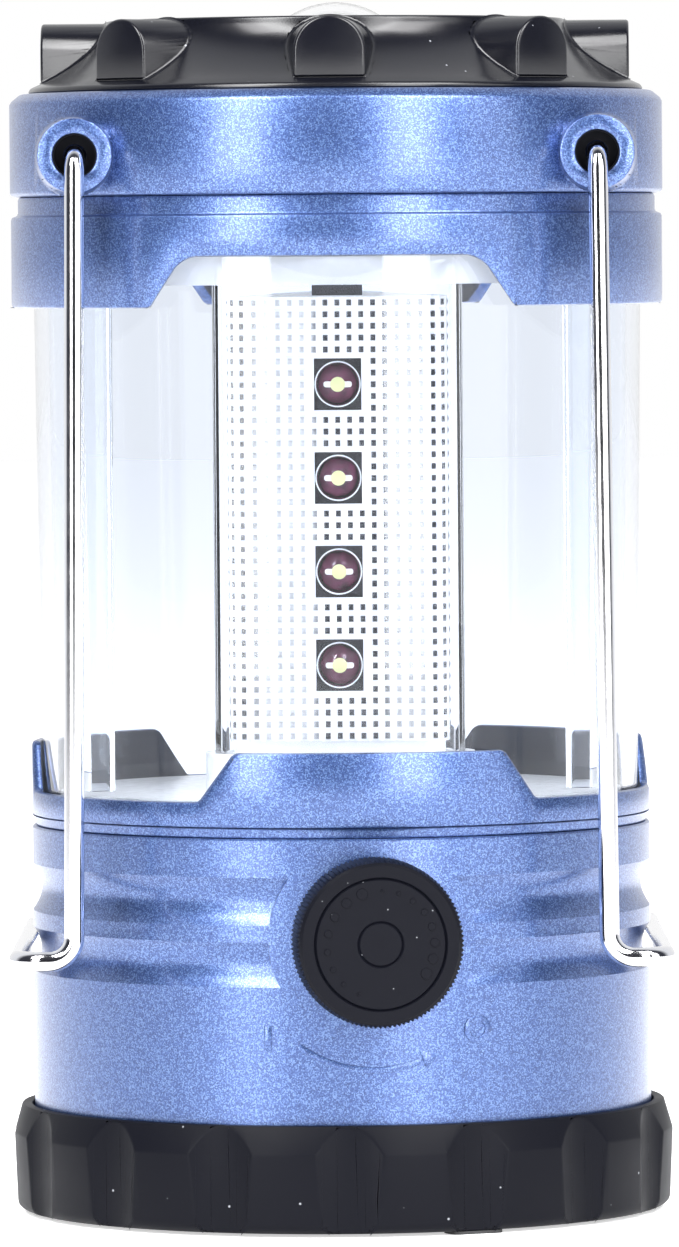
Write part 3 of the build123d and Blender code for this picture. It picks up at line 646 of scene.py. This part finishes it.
def makeHandleRing():
    s = handleRing
    z0, z1 = low("handle_ring")[2], high("handle_ring")[2]
    r = s["r"]
    pivotZ = z0 + s["pivotUp"]
    body = turned("handleRing", [
        (r - 9, z0), (r - 0.5, z0), (r, z0 + 0.3), (r, z1 - s["chamfer"]), (r - 0.25, z1 - 0.75 * s["chamfer"] + 0.1),
        (r - s["chamfer"], z1), (r - 12, z1), (r - 12, z1 - 2), (r - s["wall"], z1 - 2), (r - s["wall"], z0 + 2),
        (r - 9, z0 + 2)], 288)
    length = s["faceY"] - s["rootY"]
    rootR = s["faceR"] + s["taper"] * length
    bosses = []
    for side in (-1, 1):
        boss = peg("boss", rootR, length, (side * s["pivotX"], -s["rootY"] - length / 2, pivotZ), (90, 0, 0), 96,
                   radius2=s["faceR"])
        combine(boss, peg("core", r - s["wall"] + 0.5, 60, (0, 0, pivotZ), segments=160))
        combine(boss, block("below", (200, 200, 40), (0, 0, z0 - 20 + 0.12)))
        bosses += [boss, turnCopy(boss, 180)]
    for boss in bosses:
        combine(body, boss, "UNION")
    drills = []
    for side in (-1, 1):
        for away in (-1, 1):
            drills.append(peg("drill", s["boreR"], 20, (side * s["pivotX"], away * 25, pivotZ), (90, 0, 0), 32))
    combine(body, together(drills, "drills"))
    sinks = []
    for side in (-1, 1):
        for away in (-1, 1):
            y = away * (s["faceY"] - s["holeDeep"] / 2 + 0.5)
            sinks.append(peg("sink", s["holeR"], s["holeDeep"] + 1, (side * s["pivotX"], y, pivotZ),
                             (90, 0, 0), 64))
    combine(body, together(sinks, "sinks"))
    tidyMesh(body)
    soften(body, s["edge"], 2, 30, 34)
    finish(body, "root", bluePaint, "blue_paint", "handle_ring")
    # black cups lining the counterbores: painted shade, a dark stand-in for the shadow deep in the holes
    cups = []
    for side in (-1, 1):
        for away in (-1, 1):
            cup = turned("cup", [(s["boreR"] + 0.1, 0), (s["holeR"] - 0.02, 0), (s["holeR"] - 0.02, 2.5),
                                 (s["holeR"] - 0.16, 2.5), (s["holeR"] - 0.16, 0.15), (s["boreR"] + 0.1, 0.15)], 48)
            turn(cup, 90 * -away, "X")
            shift(cup, side * s["pivotX"], away * (s["faceY"] - s["holeDeep"] + 0.03), pivotZ)
            cups.append(cup)
    whole = together(cups, "boreLinings")
    shade(whole, 30)
    finish(whole, "root", baseBlack, "black_plastic")


# ---- black top cap with eight lugs ----

topCap = {"footR": 39.2, "foot": 0.8, "topR": 29.3, "dishR": 26.2, "dish": 1.8, "wall": 2.0, "lugs": 8, "lugWide": 8.9,
          "lugRoot": 11.4, "lugFaceR": 37.5, "edge": 0.35}


def makeTopCap():
    s = topCap
    z0 = high("handle_ring")[2]
    z1 = high("top_cap")[2]
    flareZ = z0 + s["foot"]
    outline = [(s["footR"] - s["wall"], z0), (s["footR"], z0), (s["footR"], flareZ - 0.25), (s["footR"] - 0.4, flareZ)]
    reach = s["footR"] - 0.4 - s["topR"]
    for i in range(1, 12):
        t = i / 12
        outline.append((s["footR"] - 0.4 - reach * (1 - (1 - t) ** 1.75) ** 0.92, flareZ + (z1 - flareZ) * t))
    lipR = 9.8
    outline += [(s["topR"], z1), (s["dishR"], z1), (s["dishR"] - 0.8, z1 - s["dish"]), (lipR, z1 - s["dish"]),
                (lipR, z1 - s["dish"] - 1.4), (11.0, z1 - s["dish"] - 1.4), (11.0, z0 - 2.2), (12.5, z0 - 2.2),
                (12.5, z1 - s["dish"] - 2), (25, z1 - s["dish"] - 2), (33, z0 + 2)]
    body = turned("topCap", outline, 288)
    high0 = z1 - 0.2 - flareZ - 0.6
    depth = s["lugFaceR"] - s["topR"] + 0.2
    lug = block("lug", (s["lugWide"], depth, high0), (0, -s["lugFaceR"] + depth / 2, flareZ + 0.6 + high0 / 2))
    selectWhere(lug, lambda a, b: min(a.z, b.z) > z1 - 0.5 and abs(a.x - b.x) < 0.01, "edges")
    bpy.ops.mesh.bevel(offset=s["lugWide"] / 2 * 0.98 * mm, segments=14, affect="EDGES")
    objectMode()
    selectWhere(lug, lambda v: v.y > -s["lugFaceR"] + 1, "vertices")
    bpy.ops.transform.resize(value=(s["lugRoot"] / s["lugWide"], 1, 1), center_override=(0, 0, 0))
    objectMode()
    lugs = [turnCopy(lug, upperTurn + 360 / s["lugs"] * i) for i in range(s["lugs"])]
    bpy.data.objects.remove(lug)
    for one in lugs:
        combine(body, one, "UNION")
    tidyMesh(body)
    soften(body, s["edge"], 3, 28, 32)
    finish(body, "root", capBlack, "black_plastic", "top_cap")


# ---- bails: wire drawn out straight and spun round each bend ----

bailWire = {"r": 1.25, "sides": 20, "topBend": 2.5, "footBend": 3.0, "barBend": 3.5, "legY": 34.4, "pivotX": 32.59,
            "footX": 33.39, "barX": 40.5, "endY": 22.7}


def drawWire(wire, step):
    bpy.ops.mesh.extrude_region_move(TRANSFORM_OT_translate={"value": [v * mm for v in step]})


def bendWire(centre, axis, angle):
    bpy.ops.mesh.spin(steps=12, angle=radians(angle), center=[v * mm for v in centre], axis=axis)


def makeBail(side, name, node, body):
    s = bailWire
    pivotZ = low("handle_ring")[2] + handleRing["pivotUp"]
    barZ = low(node)[2] + s["r"]
    deselect()
    bpy.ops.mesh.primitive_circle_add(vertices=s["sides"], radius=s["r"] * mm, fill_type="NGON",
                                      location=(s["pivotX"] * mm, -s["endY"] * mm, pivotZ * mm),
                                      rotation=(radians(90), 0, 0))
    wire = bpy.context.object
    wire.name = name
    settle(wire)
    lean = s["footX"] - s["pivotX"]
    long = pivotZ - barZ
    b1, b2, b3 = s["topBend"], s["footBend"], s["barBend"]
    editAll(wire)
    drawWire(wire, (0, -(s["legY"] - b1 - s["endY"]), 0))
    bendWire((s["pivotX"], -(s["legY"] - b1), pivotZ - b1), (-1, 0, 0), 90)
    drawWire(wire, (lean, 0, -(long - b1 - b2)))
    bendWire((s["footX"] + b2, -s["legY"], barZ + b2), (0, -1, 0), -90)
    drawWire(wire, (s["barX"] - b3 - s["footX"] - b2, 0, 0))
    bendWire((s["barX"] - b3, -(s["legY"] - b3), barZ), (0, 0, -1), 90)
    drawWire(wire, (0, s["legY"] - b3, 0))
    objectMode()
    return wire


def finishBail(wire, side, node, body):
    pick(wire)
    mirror = wire.modifiers.new("mirror", "MIRROR")
    mirror.use_axis = (False, True, False)
    mirror.use_clip = True
    mirror.merge_threshold = 0.02 * mm
    bpy.ops.object.modifier_apply(modifier=mirror.name)
    if side < 0:
        wire.data.transform(Matrix.Scale(-1, 4, (1, 0, 0)))
    tidyMesh(wire)
    shade(wire, 40)
    finish(wire, body, chromeWire, "chrome_wire", node)


makeBaseCap()
print("base cap done")
makeHousing()
makeMarks()
print("housing done")
makeShroud()
makeCollar()
print("shroud and collar done")
makeHandleRing()
makeTopCap()
print("handle ring and cap done")
for side, name, node in ((-1, "bailLeft", "bail_left"), (1, "bailRight", "bail_right")):
    finishBail(makeBail(side, name, node, node), side, node, node)
print("bails done")


# ---- globe: clear wall with three ribs inside ----

globe = {"wall": 1.8, "flare": 0.9, "out": 0.3, "ribTurns": (60, 180, 300), "ribWide": 2.6, "ribDeep": 3.2, "rimAt": 118.4}


def makeGlobe():
    s = globe
    z0, z1 = low("globe")[2], high("globe")[2]
    topR = high("globe")[0]
    footR = topR - s["flare"]
    shell = turned("clearGlobe", [(footR - s["wall"], z0), (footR, z0), (footR + s["flare"] / 2, (z0 + z1) / 2),
                             (topR, z1), (topR - s["wall"], z1),
                             (topR - s["wall"] - s["flare"] / 2, (z0 + z1) / 2)], 256)
    ribLow, ribHigh = high("deck_reflector")[2], low("ceiling_reflector")[2]
    ribLow = low("deck_reflector")[2] + 4.9
    inner = footR - s["wall"]
    for angle in s["ribTurns"]:
        rib = block("rib", (s["ribWide"], s["ribDeep"] + 1, ribHigh - ribLow - 0.4),
                    (0, -(inner - s["ribDeep"] / 2 + 0.5), (ribLow + ribHigh) / 2))
        selectWhere(rib, lambda a, b: max(a.y, b.y) > -(inner - s["ribDeep"]) - 0.01 and abs(a.z - b.z) > 5
                    and min(a.y, b.y) > -(inner - s["ribDeep"]) - 0.01, "edges")
        bpy.ops.mesh.bevel(offset=0.5 * mm, segments=3, affect="EDGES")
        objectMode()
        combine(shell, turn(rib, angle), "UNION")
    tidyMesh(shell, 0.001)
    shade(shell, 30)
    finish(shell, "root", globeClear, "clear_plastic", "globe")
    rimR = topR - s["wall"] - 0.25
    rim = turned("globeRim", [(rimR - 0.5, s["rimAt"]), (rimR, s["rimAt"]), (rimR, ribHigh - 0.1),
                              (rimR - 0.5, ribHigh - 0.1)], 192)
    shade(rim, 30)
    finish(rim, "root", rimMilky, "clear_plastic")


# ---- light column: rounded three-sided sleeve round a core of small prisms ----

column = {"flat": 10.7, "corner": 4.0, "wall": 1.2, "coreFlat": 8.75, "coreCorner": 2.6, "topRound": 1.0}
sheet = {"wide": 22.6, "across": 15, "up": 38, "flat": 9.2, "corner": 2.6, "thick": 0.25, "rise": 0.24,
         "slot": (6.4, 0.5, 1.3)}
windows = {"wide": 6.0, "tall": 6.6, "first": 11.1, "last": 11.0, "rows": 4, "face": 4.2}


def columnFoot():
    return low("column_sleeve")[2]


def rowHeights():
    first = columnFoot() + windows["first"]
    last = high("reflector_core")[2] - windows["last"]
    return [first + (last - first) / (windows["rows"] - 1) * i for i in range(windows["rows"])]


def threeSided(name, flat, corner, z0, z1):
    deselect()
    bpy.ops.mesh.primitive_circle_add(vertices=3, radius=2 * flat * mm, fill_type="NGON", location=(0, 0, z0 * mm))
    piece = bpy.context.object
    piece.name = name
    settle(piece)
    editAll(piece)
    bpy.ops.mesh.bevel(offset=corner * sqrt(3) * mm, segments=14, affect="VERTICES", clamp_overlap=False)
    bpy.ops.mesh.select_all(action="SELECT")
    bpy.ops.mesh.extrude_region_move(TRANSFORM_OT_translate={"value": (0, 0, (z1 - z0) * mm)})
    bpy.ops.mesh.select_all(action="SELECT")
    bpy.ops.mesh.normals_make_consistent(inside=False)
    objectMode()
    return piece


def makeSleeve():
    s = column
    z0, z1 = columnFoot(), high("column_sleeve")[2]
    sleeve = threeSided("columnSleeve", s["flat"], s["corner"], z0, z1)
    selectWhere(sleeve, lambda a, b: min(a.z, b.z) > z1 - 0.01, "edges")
    bpy.ops.mesh.bevel(offset=s["topRound"] * mm, segments=4, affect="EDGES")
    objectMode()
    combine(sleeve, threeSided("hollow", s["flat"] - s["wall"], s["corner"] - s["wall"], z0 - 1, z1 - s["wall"]))
    tidyMesh(sleeve, 0.001)
    shade(sleeve, 30)
    finish(sleeve, "root", sleeveClear, "clear_plastic", "column_sleeve")


def makeCore():
    s = column
    z0, z1 = columnFoot(), high("reflector_core")[2]
    core = threeSided("reflectorCore", s["coreFlat"], s["coreCorner"], z0, z1)
    combine(core, threeSided("inside", s["coreFlat"] - 1.1, s["coreCorner"] - 1.1, z0 - 1, z1 - 1.2))
    for angle in thirds:
        holes = [block("hole", (windows["wide"], 20, windows["tall"]), (0, -10, z)) for z in rowHeights()]
        combine(core, turn(together(holes, "holes"), angle))
    tidyMesh(core)
    selectWhere(core, lambda a, b: min(a.z, b.z) > z1 - 0.01, "edges")
    bpy.ops.mesh.bevel(offset=0.5 * mm, segments=3, affect="EDGES")
    objectMode()
    shade(core, 30)
    finish(core, "root", silverPlain, "silver_reflector", "reflector_core")


def pokeOut(piece, test):
    # every outer cell becomes a low four-sided prism
    selectWhere(piece, test)
    bpy.ops.mesh.poke(offset=sheet["rise"] * mm)
    objectMode()


def thicken(piece):
    pick(piece)
    step = piece.modifiers.new("thick", "SOLIDIFY")
    step.thickness = sheet["thick"] * mm
    step.offset = -1
    bpy.ops.object.modifier_apply(modifier=step.name)


def makePrisms():
    # one sheet of prisms for each flat, left plain round every window, and one round each corner
    s = sheet
    pitch = (rowHeights()[1] - rowHeights()[0]) / 8
    z0, z1 = rowHeights()[0] - 6.5 * pitch, rowHeights()[-1] + 7.5 * pitch
    deselect()
    bpy.ops.mesh.primitive_grid_add(x_subdivisions=s["across"], y_subdivisions=s["up"], size=mm)
    face = bpy.context.object
    face.name = "sheet"
    face.data.transform(Matrix.Diagonal((s["wide"], z1 - z0, 1, 1)))
    turn(face, 90, "X")
    shift(face, y=-s["flat"], z=(z0 + z1) / 2)
    selectWhere(face, lambda c, n: abs(c.x) < 3.1 and min(abs(c.z - z) for z in rowHeights()) < 3.1)
    bpy.ops.mesh.delete(type="FACE")
    objectMode()
    thicken(face)
    pokeOut(face, lambda c, n: n.y < -0.9)
    faces = [turnCopy(face, angle) for angle in thirds]
    bpy.data.objects.remove(face)
    finish(together(faces, "prismFlats"), "root", flatPrisms, "silver_reflector")
    # a dark bar over the top of the front prism sheet: painted shade for the dark gap under the ceiling reflector
    slot = block("slot", s["slot"], (0, -s["flat"], z1 + 0.8))
    finish(slot, "root", ledDark, "black_plastic")
    corner = s["corner"]
    away = 2 * (s["flat"] - corner)
    deselect()
    bpy.ops.mesh.primitive_cylinder_add(vertices=12, radius=corner * mm, depth=(z1 - z0) * mm, end_fill_type="NOTHING",
                                        location=(0, 0, (z0 + z1) / 2 * mm), rotation=(0, 0, radians(-30)))
    bend = bpy.context.object
    bend.name = "bend"
    settle(bend)
    selectWhere(bend, lambda a, b: abs(a.z - b.z) > 5, "edges")
    bpy.ops.mesh.subdivide(number_cuts=s["up"] - 1)
    objectMode()
    selectWhere(bend, lambda c, n: c.y < corner * 0.45)
    bpy.ops.mesh.delete(type="FACE")
    objectMode()
    thicken(bend)
    pokeOut(bend, lambda c, n: n.x * c.x + n.y * c.y > 0.5 * corner and abs(n.z) < 0.3)
    shift(bend, y=away)
    bends = [turnCopy(bend, angle) for angle in thirds]
    bpy.data.objects.remove(bend)
    finish(together(bends, "prismCorners"), "root", cornerPrisms, "silver_reflector")


# ---- light-emitting diodes behind the windows ----

led = {"r": 2.6, "flangeR": 2.9, "flange": 0.9, "long": 5.0, "hoopIn": 2.76, "hoopOut": 2.94, "hoopAt": 3.6,
       "plateAt": 3.2, "chipR": 0.95, "wing": (3.6, 0.75)}


def ledAt(piece, z, angle):
    # from standing on the floor plane to a row and face of the column
    twin = turnCopy(piece, 90, axis="X")
    shift(twin, y=-windows["face"], z=z)
    return turn(twin, angle)


def makeLeds():
    s = led
    straight = s["long"] - s["r"]
    outline = [(s["flangeR"], 0), (s["flangeR"], s["flange"]), (s["r"] - 0.05, s["flange"]), (s["r"] - 0.05, straight)]
    for i in range(1, 12):
        outline.append((s["r"] * cos(radians(i * 8)), straight + s["r"] * sin(radians(i * 8))))
    dome = turned("dome", outline, 40, loop=False)
    grown = []
    for extra in (0.03, 0.06):
        grown.append(turned("skin", [(p[0], p[1] + extra) for p in outline[3:]], 40, loop=False))
    chip = peg("chip", s["chipR"], 10, (0, 0, 4), segments=32)
    combine(chip, grown[1], "INTERSECT")
    wing = block("wing", (*s["wing"], 10), (0, 0, 4))
    selectWhere(wing, lambda a, b: abs(a.z - b.z) > 5, "edges")
    bpy.ops.mesh.bevel(offset=0.3 * mm, segments=4, affect="EDGES")
    objectMode()
    combine(wing, grown[0], "INTERSECT")
    # a white ring at each LED's flange: a painted highlight arc, in a finish that also glows as painted light
    hoop = turned("hoop", [(s["hoopIn"], s["hoopAt"]), (s["hoopOut"], s["hoopAt"]),
                           (s["hoopOut"], s["hoopAt"] + 0.35), (s["hoopIn"], s["hoopAt"] + 0.35)], 48)
    plate = block("plate", (windows["wide"] + 0.8, windows["tall"] + 0.8, 0.3), (0, 0, s["plateAt"]))
    combine(plate, peg("way", s["hoopOut"] - 0.06, 4, (0, 0, s["plateAt"]), segments=48))
    for name, angle in (("Front", 0), ("Right", 120), ("Left", 240)):
        for piece, material, nodeName in ((dome, ledDome, "leds_" + name.lower()), (chip, ledCore, None),
                                          (wing, ledWhite, None),
                                          (hoop, whiteGloss, None), (plate, ledDark, None)):
            row = together([ledAt(piece, z, angle) for z in rowHeights()], piece.name + name)
            tidyMesh(row, 0.0005)
            shade(row, 34)
            slotName = "led_epoxy" if piece in (dome, chip, wing) else "white_plastic"
            finish(row, "root", material, slotName, *([nodeName] if nodeName else []))
    for piece in (dome, chip, wing, hoop, plate):
        bpy.data.objects.remove(piece)


# ---- dimmer knob with its knurled rim, grooves and dots ----

knob = {"r": 10.5, "faceR": 10.1, "back": 39.8, "tall": 7.8, "under": 2.1, "hubR": 4.8, "hollowR": 8.7, "teeth": 110,
        "deep": 0.3, "ringR": 8.15, "centreR": 2.75, "dotRing": 6.7,
        "arcs": ((88, -33), (245, 110)), "dots": 8, "dotR": (0.22, 0.72), "shaftR": 3.0}


def makeKnob():
    s = knob
    z0, z1 = s["back"], s["back"] + s["tall"]
    shaftEnd = z1 - s["under"]
    outline = [(s["hollowR"], z0), (s["r"] - 0.3, z0), (s["r"], z0 + 0.3), (s["r"], z1 - 1.0), (s["faceR"], z1 - 0.35),
               (s["faceR"] - 0.35, z1)]
    for r, deep in ((s["ringR"], 0.28), (s["centreR"], 0.22)):
        outline += [(r + 0.2, z1), (r, z1 - deep), (r - 0.2, z1)]
    outline += [(0.4, z1), (0.4, shaftEnd), (s["shaftR"], shaftEnd), (s["shaftR"], z0 + 2.5), (s["hubR"], z0 + 2.5),
                (s["hubR"], shaftEnd), (s["hollowR"], shaftEnd)]
    body = turned("dimmerKnob", outline, 2 * s["teeth"])
    step = 360 / s["teeth"]
    selectWhere(body, lambda v: sqrt(v.x ** 2 + v.y ** 2) > s["r"] - 0.5 and z0 + 0.2 < v.z < z1 - 0.8
                and round(degrees(atan2(v.y, v.x)) / (step / 2)) % 2 == 0, "vertices")
    inside = (s["r"] - s["deep"]) / s["r"]
    bpy.ops.transform.resize(value=(inside, inside, 1), center_override=(0, 0, 0))
    objectMode()
    plug = peg("middle", 0.45, s["under"], (0, 0, z1 - s["under"] / 2), segments=24)
    shade(body, 26)
    dots = []
    for first, last in s["arcs"]:
        for i in range(s["dots"]):
            angle = radians(first + (last - first) * i / (s["dots"] - 1))
            size = s["dotR"][0] + (s["dotR"][1] - s["dotR"][0]) * i / (s["dots"] - 1)
            dots.append(peg("dot", size, 0.3, (s["dotRing"] * cos(angle), s["dotRing"] * sin(angle), z1), segments=24,
                            radius2=size - 0.06))
    whole = together([body, plug] + dots, "dimmerKnob")
    faceOut(whole)
    finish(whole, "knob", knobBlack, "black_plastic", "knob")


# ---- compass under its clear dome ----

compass = {"r": 10.9, "wall": 1.1, "domeR": 10.8, "clearR": 9.7, "cardR": 8.5, "ticks": 24}


def makeLens():
    s = compass
    z1 = high("compass_lens")[2]
    z0 = low("compass_lens")[2]
    centre = z1 - s["domeR"]
    flange = z0 + 1.2
    outer, inner = [], []
    last = asin(s["clearR"] / s["domeR"])
    inR = s["domeR"] - s["wall"]
    for i in range(13):
        a = last * (1 - i / 12 * 0.985)
        outer.append((s["domeR"] * sin(a), centre + s["domeR"] * cos(a)))
    lowAngle = acos((z0 - centre) / inR)
    for i in range(13):
        a = lowAngle * (1 - (12 - i) / 12 * 0.985)
        inner.append((inR * sin(a), centre + inR * cos(a)))
    outline = [(s["r"], z0), (s["r"], flange), (s["clearR"], flange)] + outer
    shell = turned("compassLens", outline, 96, loop=False)
    hollow = turned("hollow", [(inner[-1][0], z0 - 1)] + list(reversed(inner)), 96, loop=False)
    combine(shell, hollow)
    tidyMesh(shell, 0.0005)
    shade(shell, 30)
    finish(shell, "root", lensClear, "clear_plastic", "compass_lens")


def makeCard():
    s = compass
    z1 = high("compass_card")[2]
    z0 = low("compass_card")[2]
    top = z1 - 1.1
    disc = turned("compassCard", [(0.6, z0), (1.4, z0), (1.4, top - 0.5), (s["cardR"], top - 0.5), (s["cardR"], top),
                                  (1.4, top), (1.4, z1 - 0.4), (0.6, z1)], 96)
    shade(disc, 30)
    finish(disc, "compass_card", whiteGloss, "white_plastic", "compass_card")
    ticks = []
    for i in range(s["ticks"]):
        long = 1.8 if i % 6 == 0 else 1.0
        tick = block("tick", (0.5 if i % 6 == 0 else 0.25, long, 0.06), (0, s["cardR"] - 0.3 - long / 2, top + 0.02))
        ticks.append(turn(tick, 360 / s["ticks"] * i))
    marksPiece = together(ticks, "cardTicks")
    finish(marksPiece, "compass_card", ledDark, "black_plastic")
    for name, material, way in (("needleNorth", leadRed, 1), ("needleSouth", ledDark, -1)):
        half = peg(name, 1.0, 0.12, (0, 0, top + 0.3), segments=3)
        half.data.transform(Matrix.Diagonal((1.3, 4.0, 1, 1)))
        shift(half, y=2.4)
        if way < 0:
            turn(half, 180)
        finish(half, "compass_card", material, "lead_jacket" if way > 0 else "black_plastic")


# ---- stud on the base cap, and everything that keeps its drawn shape ----

def makeStud():
    z0 = low("base_cap")[2] + 1.2
    stud = peg("capStud", 1.5, 5.1 - z0, (0, 0, (5.1 + z0) / 2), segments=32)
    soften(stud, 0.2, 2)
    finish(stud, "base_cap", capBlack, "black_plastic")


kept = {
    "rubber_feet": rubber, "carrier_clip": steel, "contact_carrier": capBlack, "base_contacts": brassPlate,
    "base_springs": steel, "base_seal": rubber, "battery_cage": capBlack, "battery_1": cellJacket,
    "battery_2": cellJacket, "battery_3": cellJacket, "top_contacts": brassPlate, "return_strip": brassPlate,
    "lower_gasket": rubber, "deck_reflector": whiteGloss, "deck_screws": steel, "upper_gasket": rubber,
    "ceiling_reflector": reflectorSilver, "collar_screws": steel, "cap_screws": steel, "compass_cup": whiteGloss,
    "compass_pivot": brassPlate, "dimmer": steel, "dimmer_washer": steel, "dimmer_nut": steel,
    "dimmer_shaft": steel, "driver_board": boardGreen, "battery_leads": leadRed, "led_leads": leadRed,
    "led_board_front": boardGreen, "led_board_right": boardGreen, "led_board_left": boardGreen}


def dressKept():
    for node, material in kept.items():
        piece = bpy.data.objects[node]
        piece.data.materials.clear()
        piece.data.materials.append(material)


# ---- pale room, and soft boxes where the bright bands stand on the round walls ----

room = {"back": (1.0, 1.0, 1.0), "strength": 1.0}


def lampAt(name, turnDeg, away, height, size, power, aimAt=None):
    data = bpy.data.lights.new(name, "AREA")
    data.shape = "RECTANGLE"
    data.size, data.size_y = size
    data.energy = power
    lamp = bpy.data.objects.new(name, data)
    bpy.context.collection.objects.link(lamp)
    spot = Vector((away * sin(radians(turnDeg)), -away * cos(radians(turnDeg)), height))
    aim = Vector((0, 0, height if aimAt is None else aimAt)) - spot
    lamp.matrix_world = Matrix.Translation(spot) @ aim.to_track_quat("-Z", "Y").to_matrix().to_4x4()


def makeRoom():
    world = bpy.data.worlds.new("studio")
    world.use_nodes = True
    tree = world.node_tree
    ground = tree.nodes["Background"]
    place = tree.nodes.new("ShaderNodeTexCoord")
    split = tree.nodes.new("ShaderNodeSeparateXYZ")
    tree.links.new(place.outputs["Generated"], split.inputs["Vector"])
    span = tree.nodes.new("ShaderNodeMapRange")
    span.inputs["From Min"].default_value = -1
    span.inputs["From Max"].default_value = 1
    tree.links.new(split.outputs["Y"], span.inputs["Value"])
    shades = ramp(tree, span.outputs["Result"], [(0.0, (0.02, 0.02, 0.027)), (0.50, (0.045, 0.048, 0.065)),
                                                 (0.66, (0.9, 0.92, 0.96)), (1.0, (1.0, 1.0, 1.0))])
    tree.links.new(shades.outputs["Color"], ground.inputs["Color"])
    ground.inputs["Strength"].default_value = 1.0
    bpy.context.scene.world = world
    lampAt("leftBox", -34, 1.1, 1.55, (0.35, 3.4), 36)
    lampAt("rightBox", 26, 1.1, 1.55, (0.34, 3.4), 35)
    lampAt("sideFill", 56, 1.3, 0.5, (0.5, 1.2), 5)
    lampAt("capLeft", -42, 0.75, 0.95, (0.4, 0.6), 9, 0.15)
    lampAt("capRight", 44, 0.75, 0.95, (0.4, 0.6), 9, 0.15)


def makeFloor():
    deselect()
    bpy.ops.mesh.primitive_plane_add(size=9)
    floor = bpy.context.object
    floor.name = "floor"
    pale = bpy.data.materials.new("paleFloor")
    pale.use_nodes = True
    glow = pale.node_tree.nodes["Principled BSDF"]
    glow.inputs["Base Color"].default_value = (0.95, 0.95, 0.95, 1)
    glow.inputs["Roughness"].default_value = 0.9
    glow.inputs["Emission Color"].default_value = (1, 1, 1, 1)
    glow.inputs["Emission Strength"].default_value = 0.57
    floor.data.materials.append(pale)


makeGlobe()
print("globe done")
makeSleeve()
makeCore()
makePrisms()
makeLeds()
print("light column done")
makeKnob()
makeLens()
makeCard()
makeStud()
dressKept()
print("knob, compass and kept pieces done")
makeRoom()
makeFloor()

scene = bpy.context.scene
scene.view_settings.view_transform = "Standard"
scene.cycles.max_bounces = 24
scene.cycles.transmission_bounces = 20
scene.cycles.transparent_max_bounces = 24
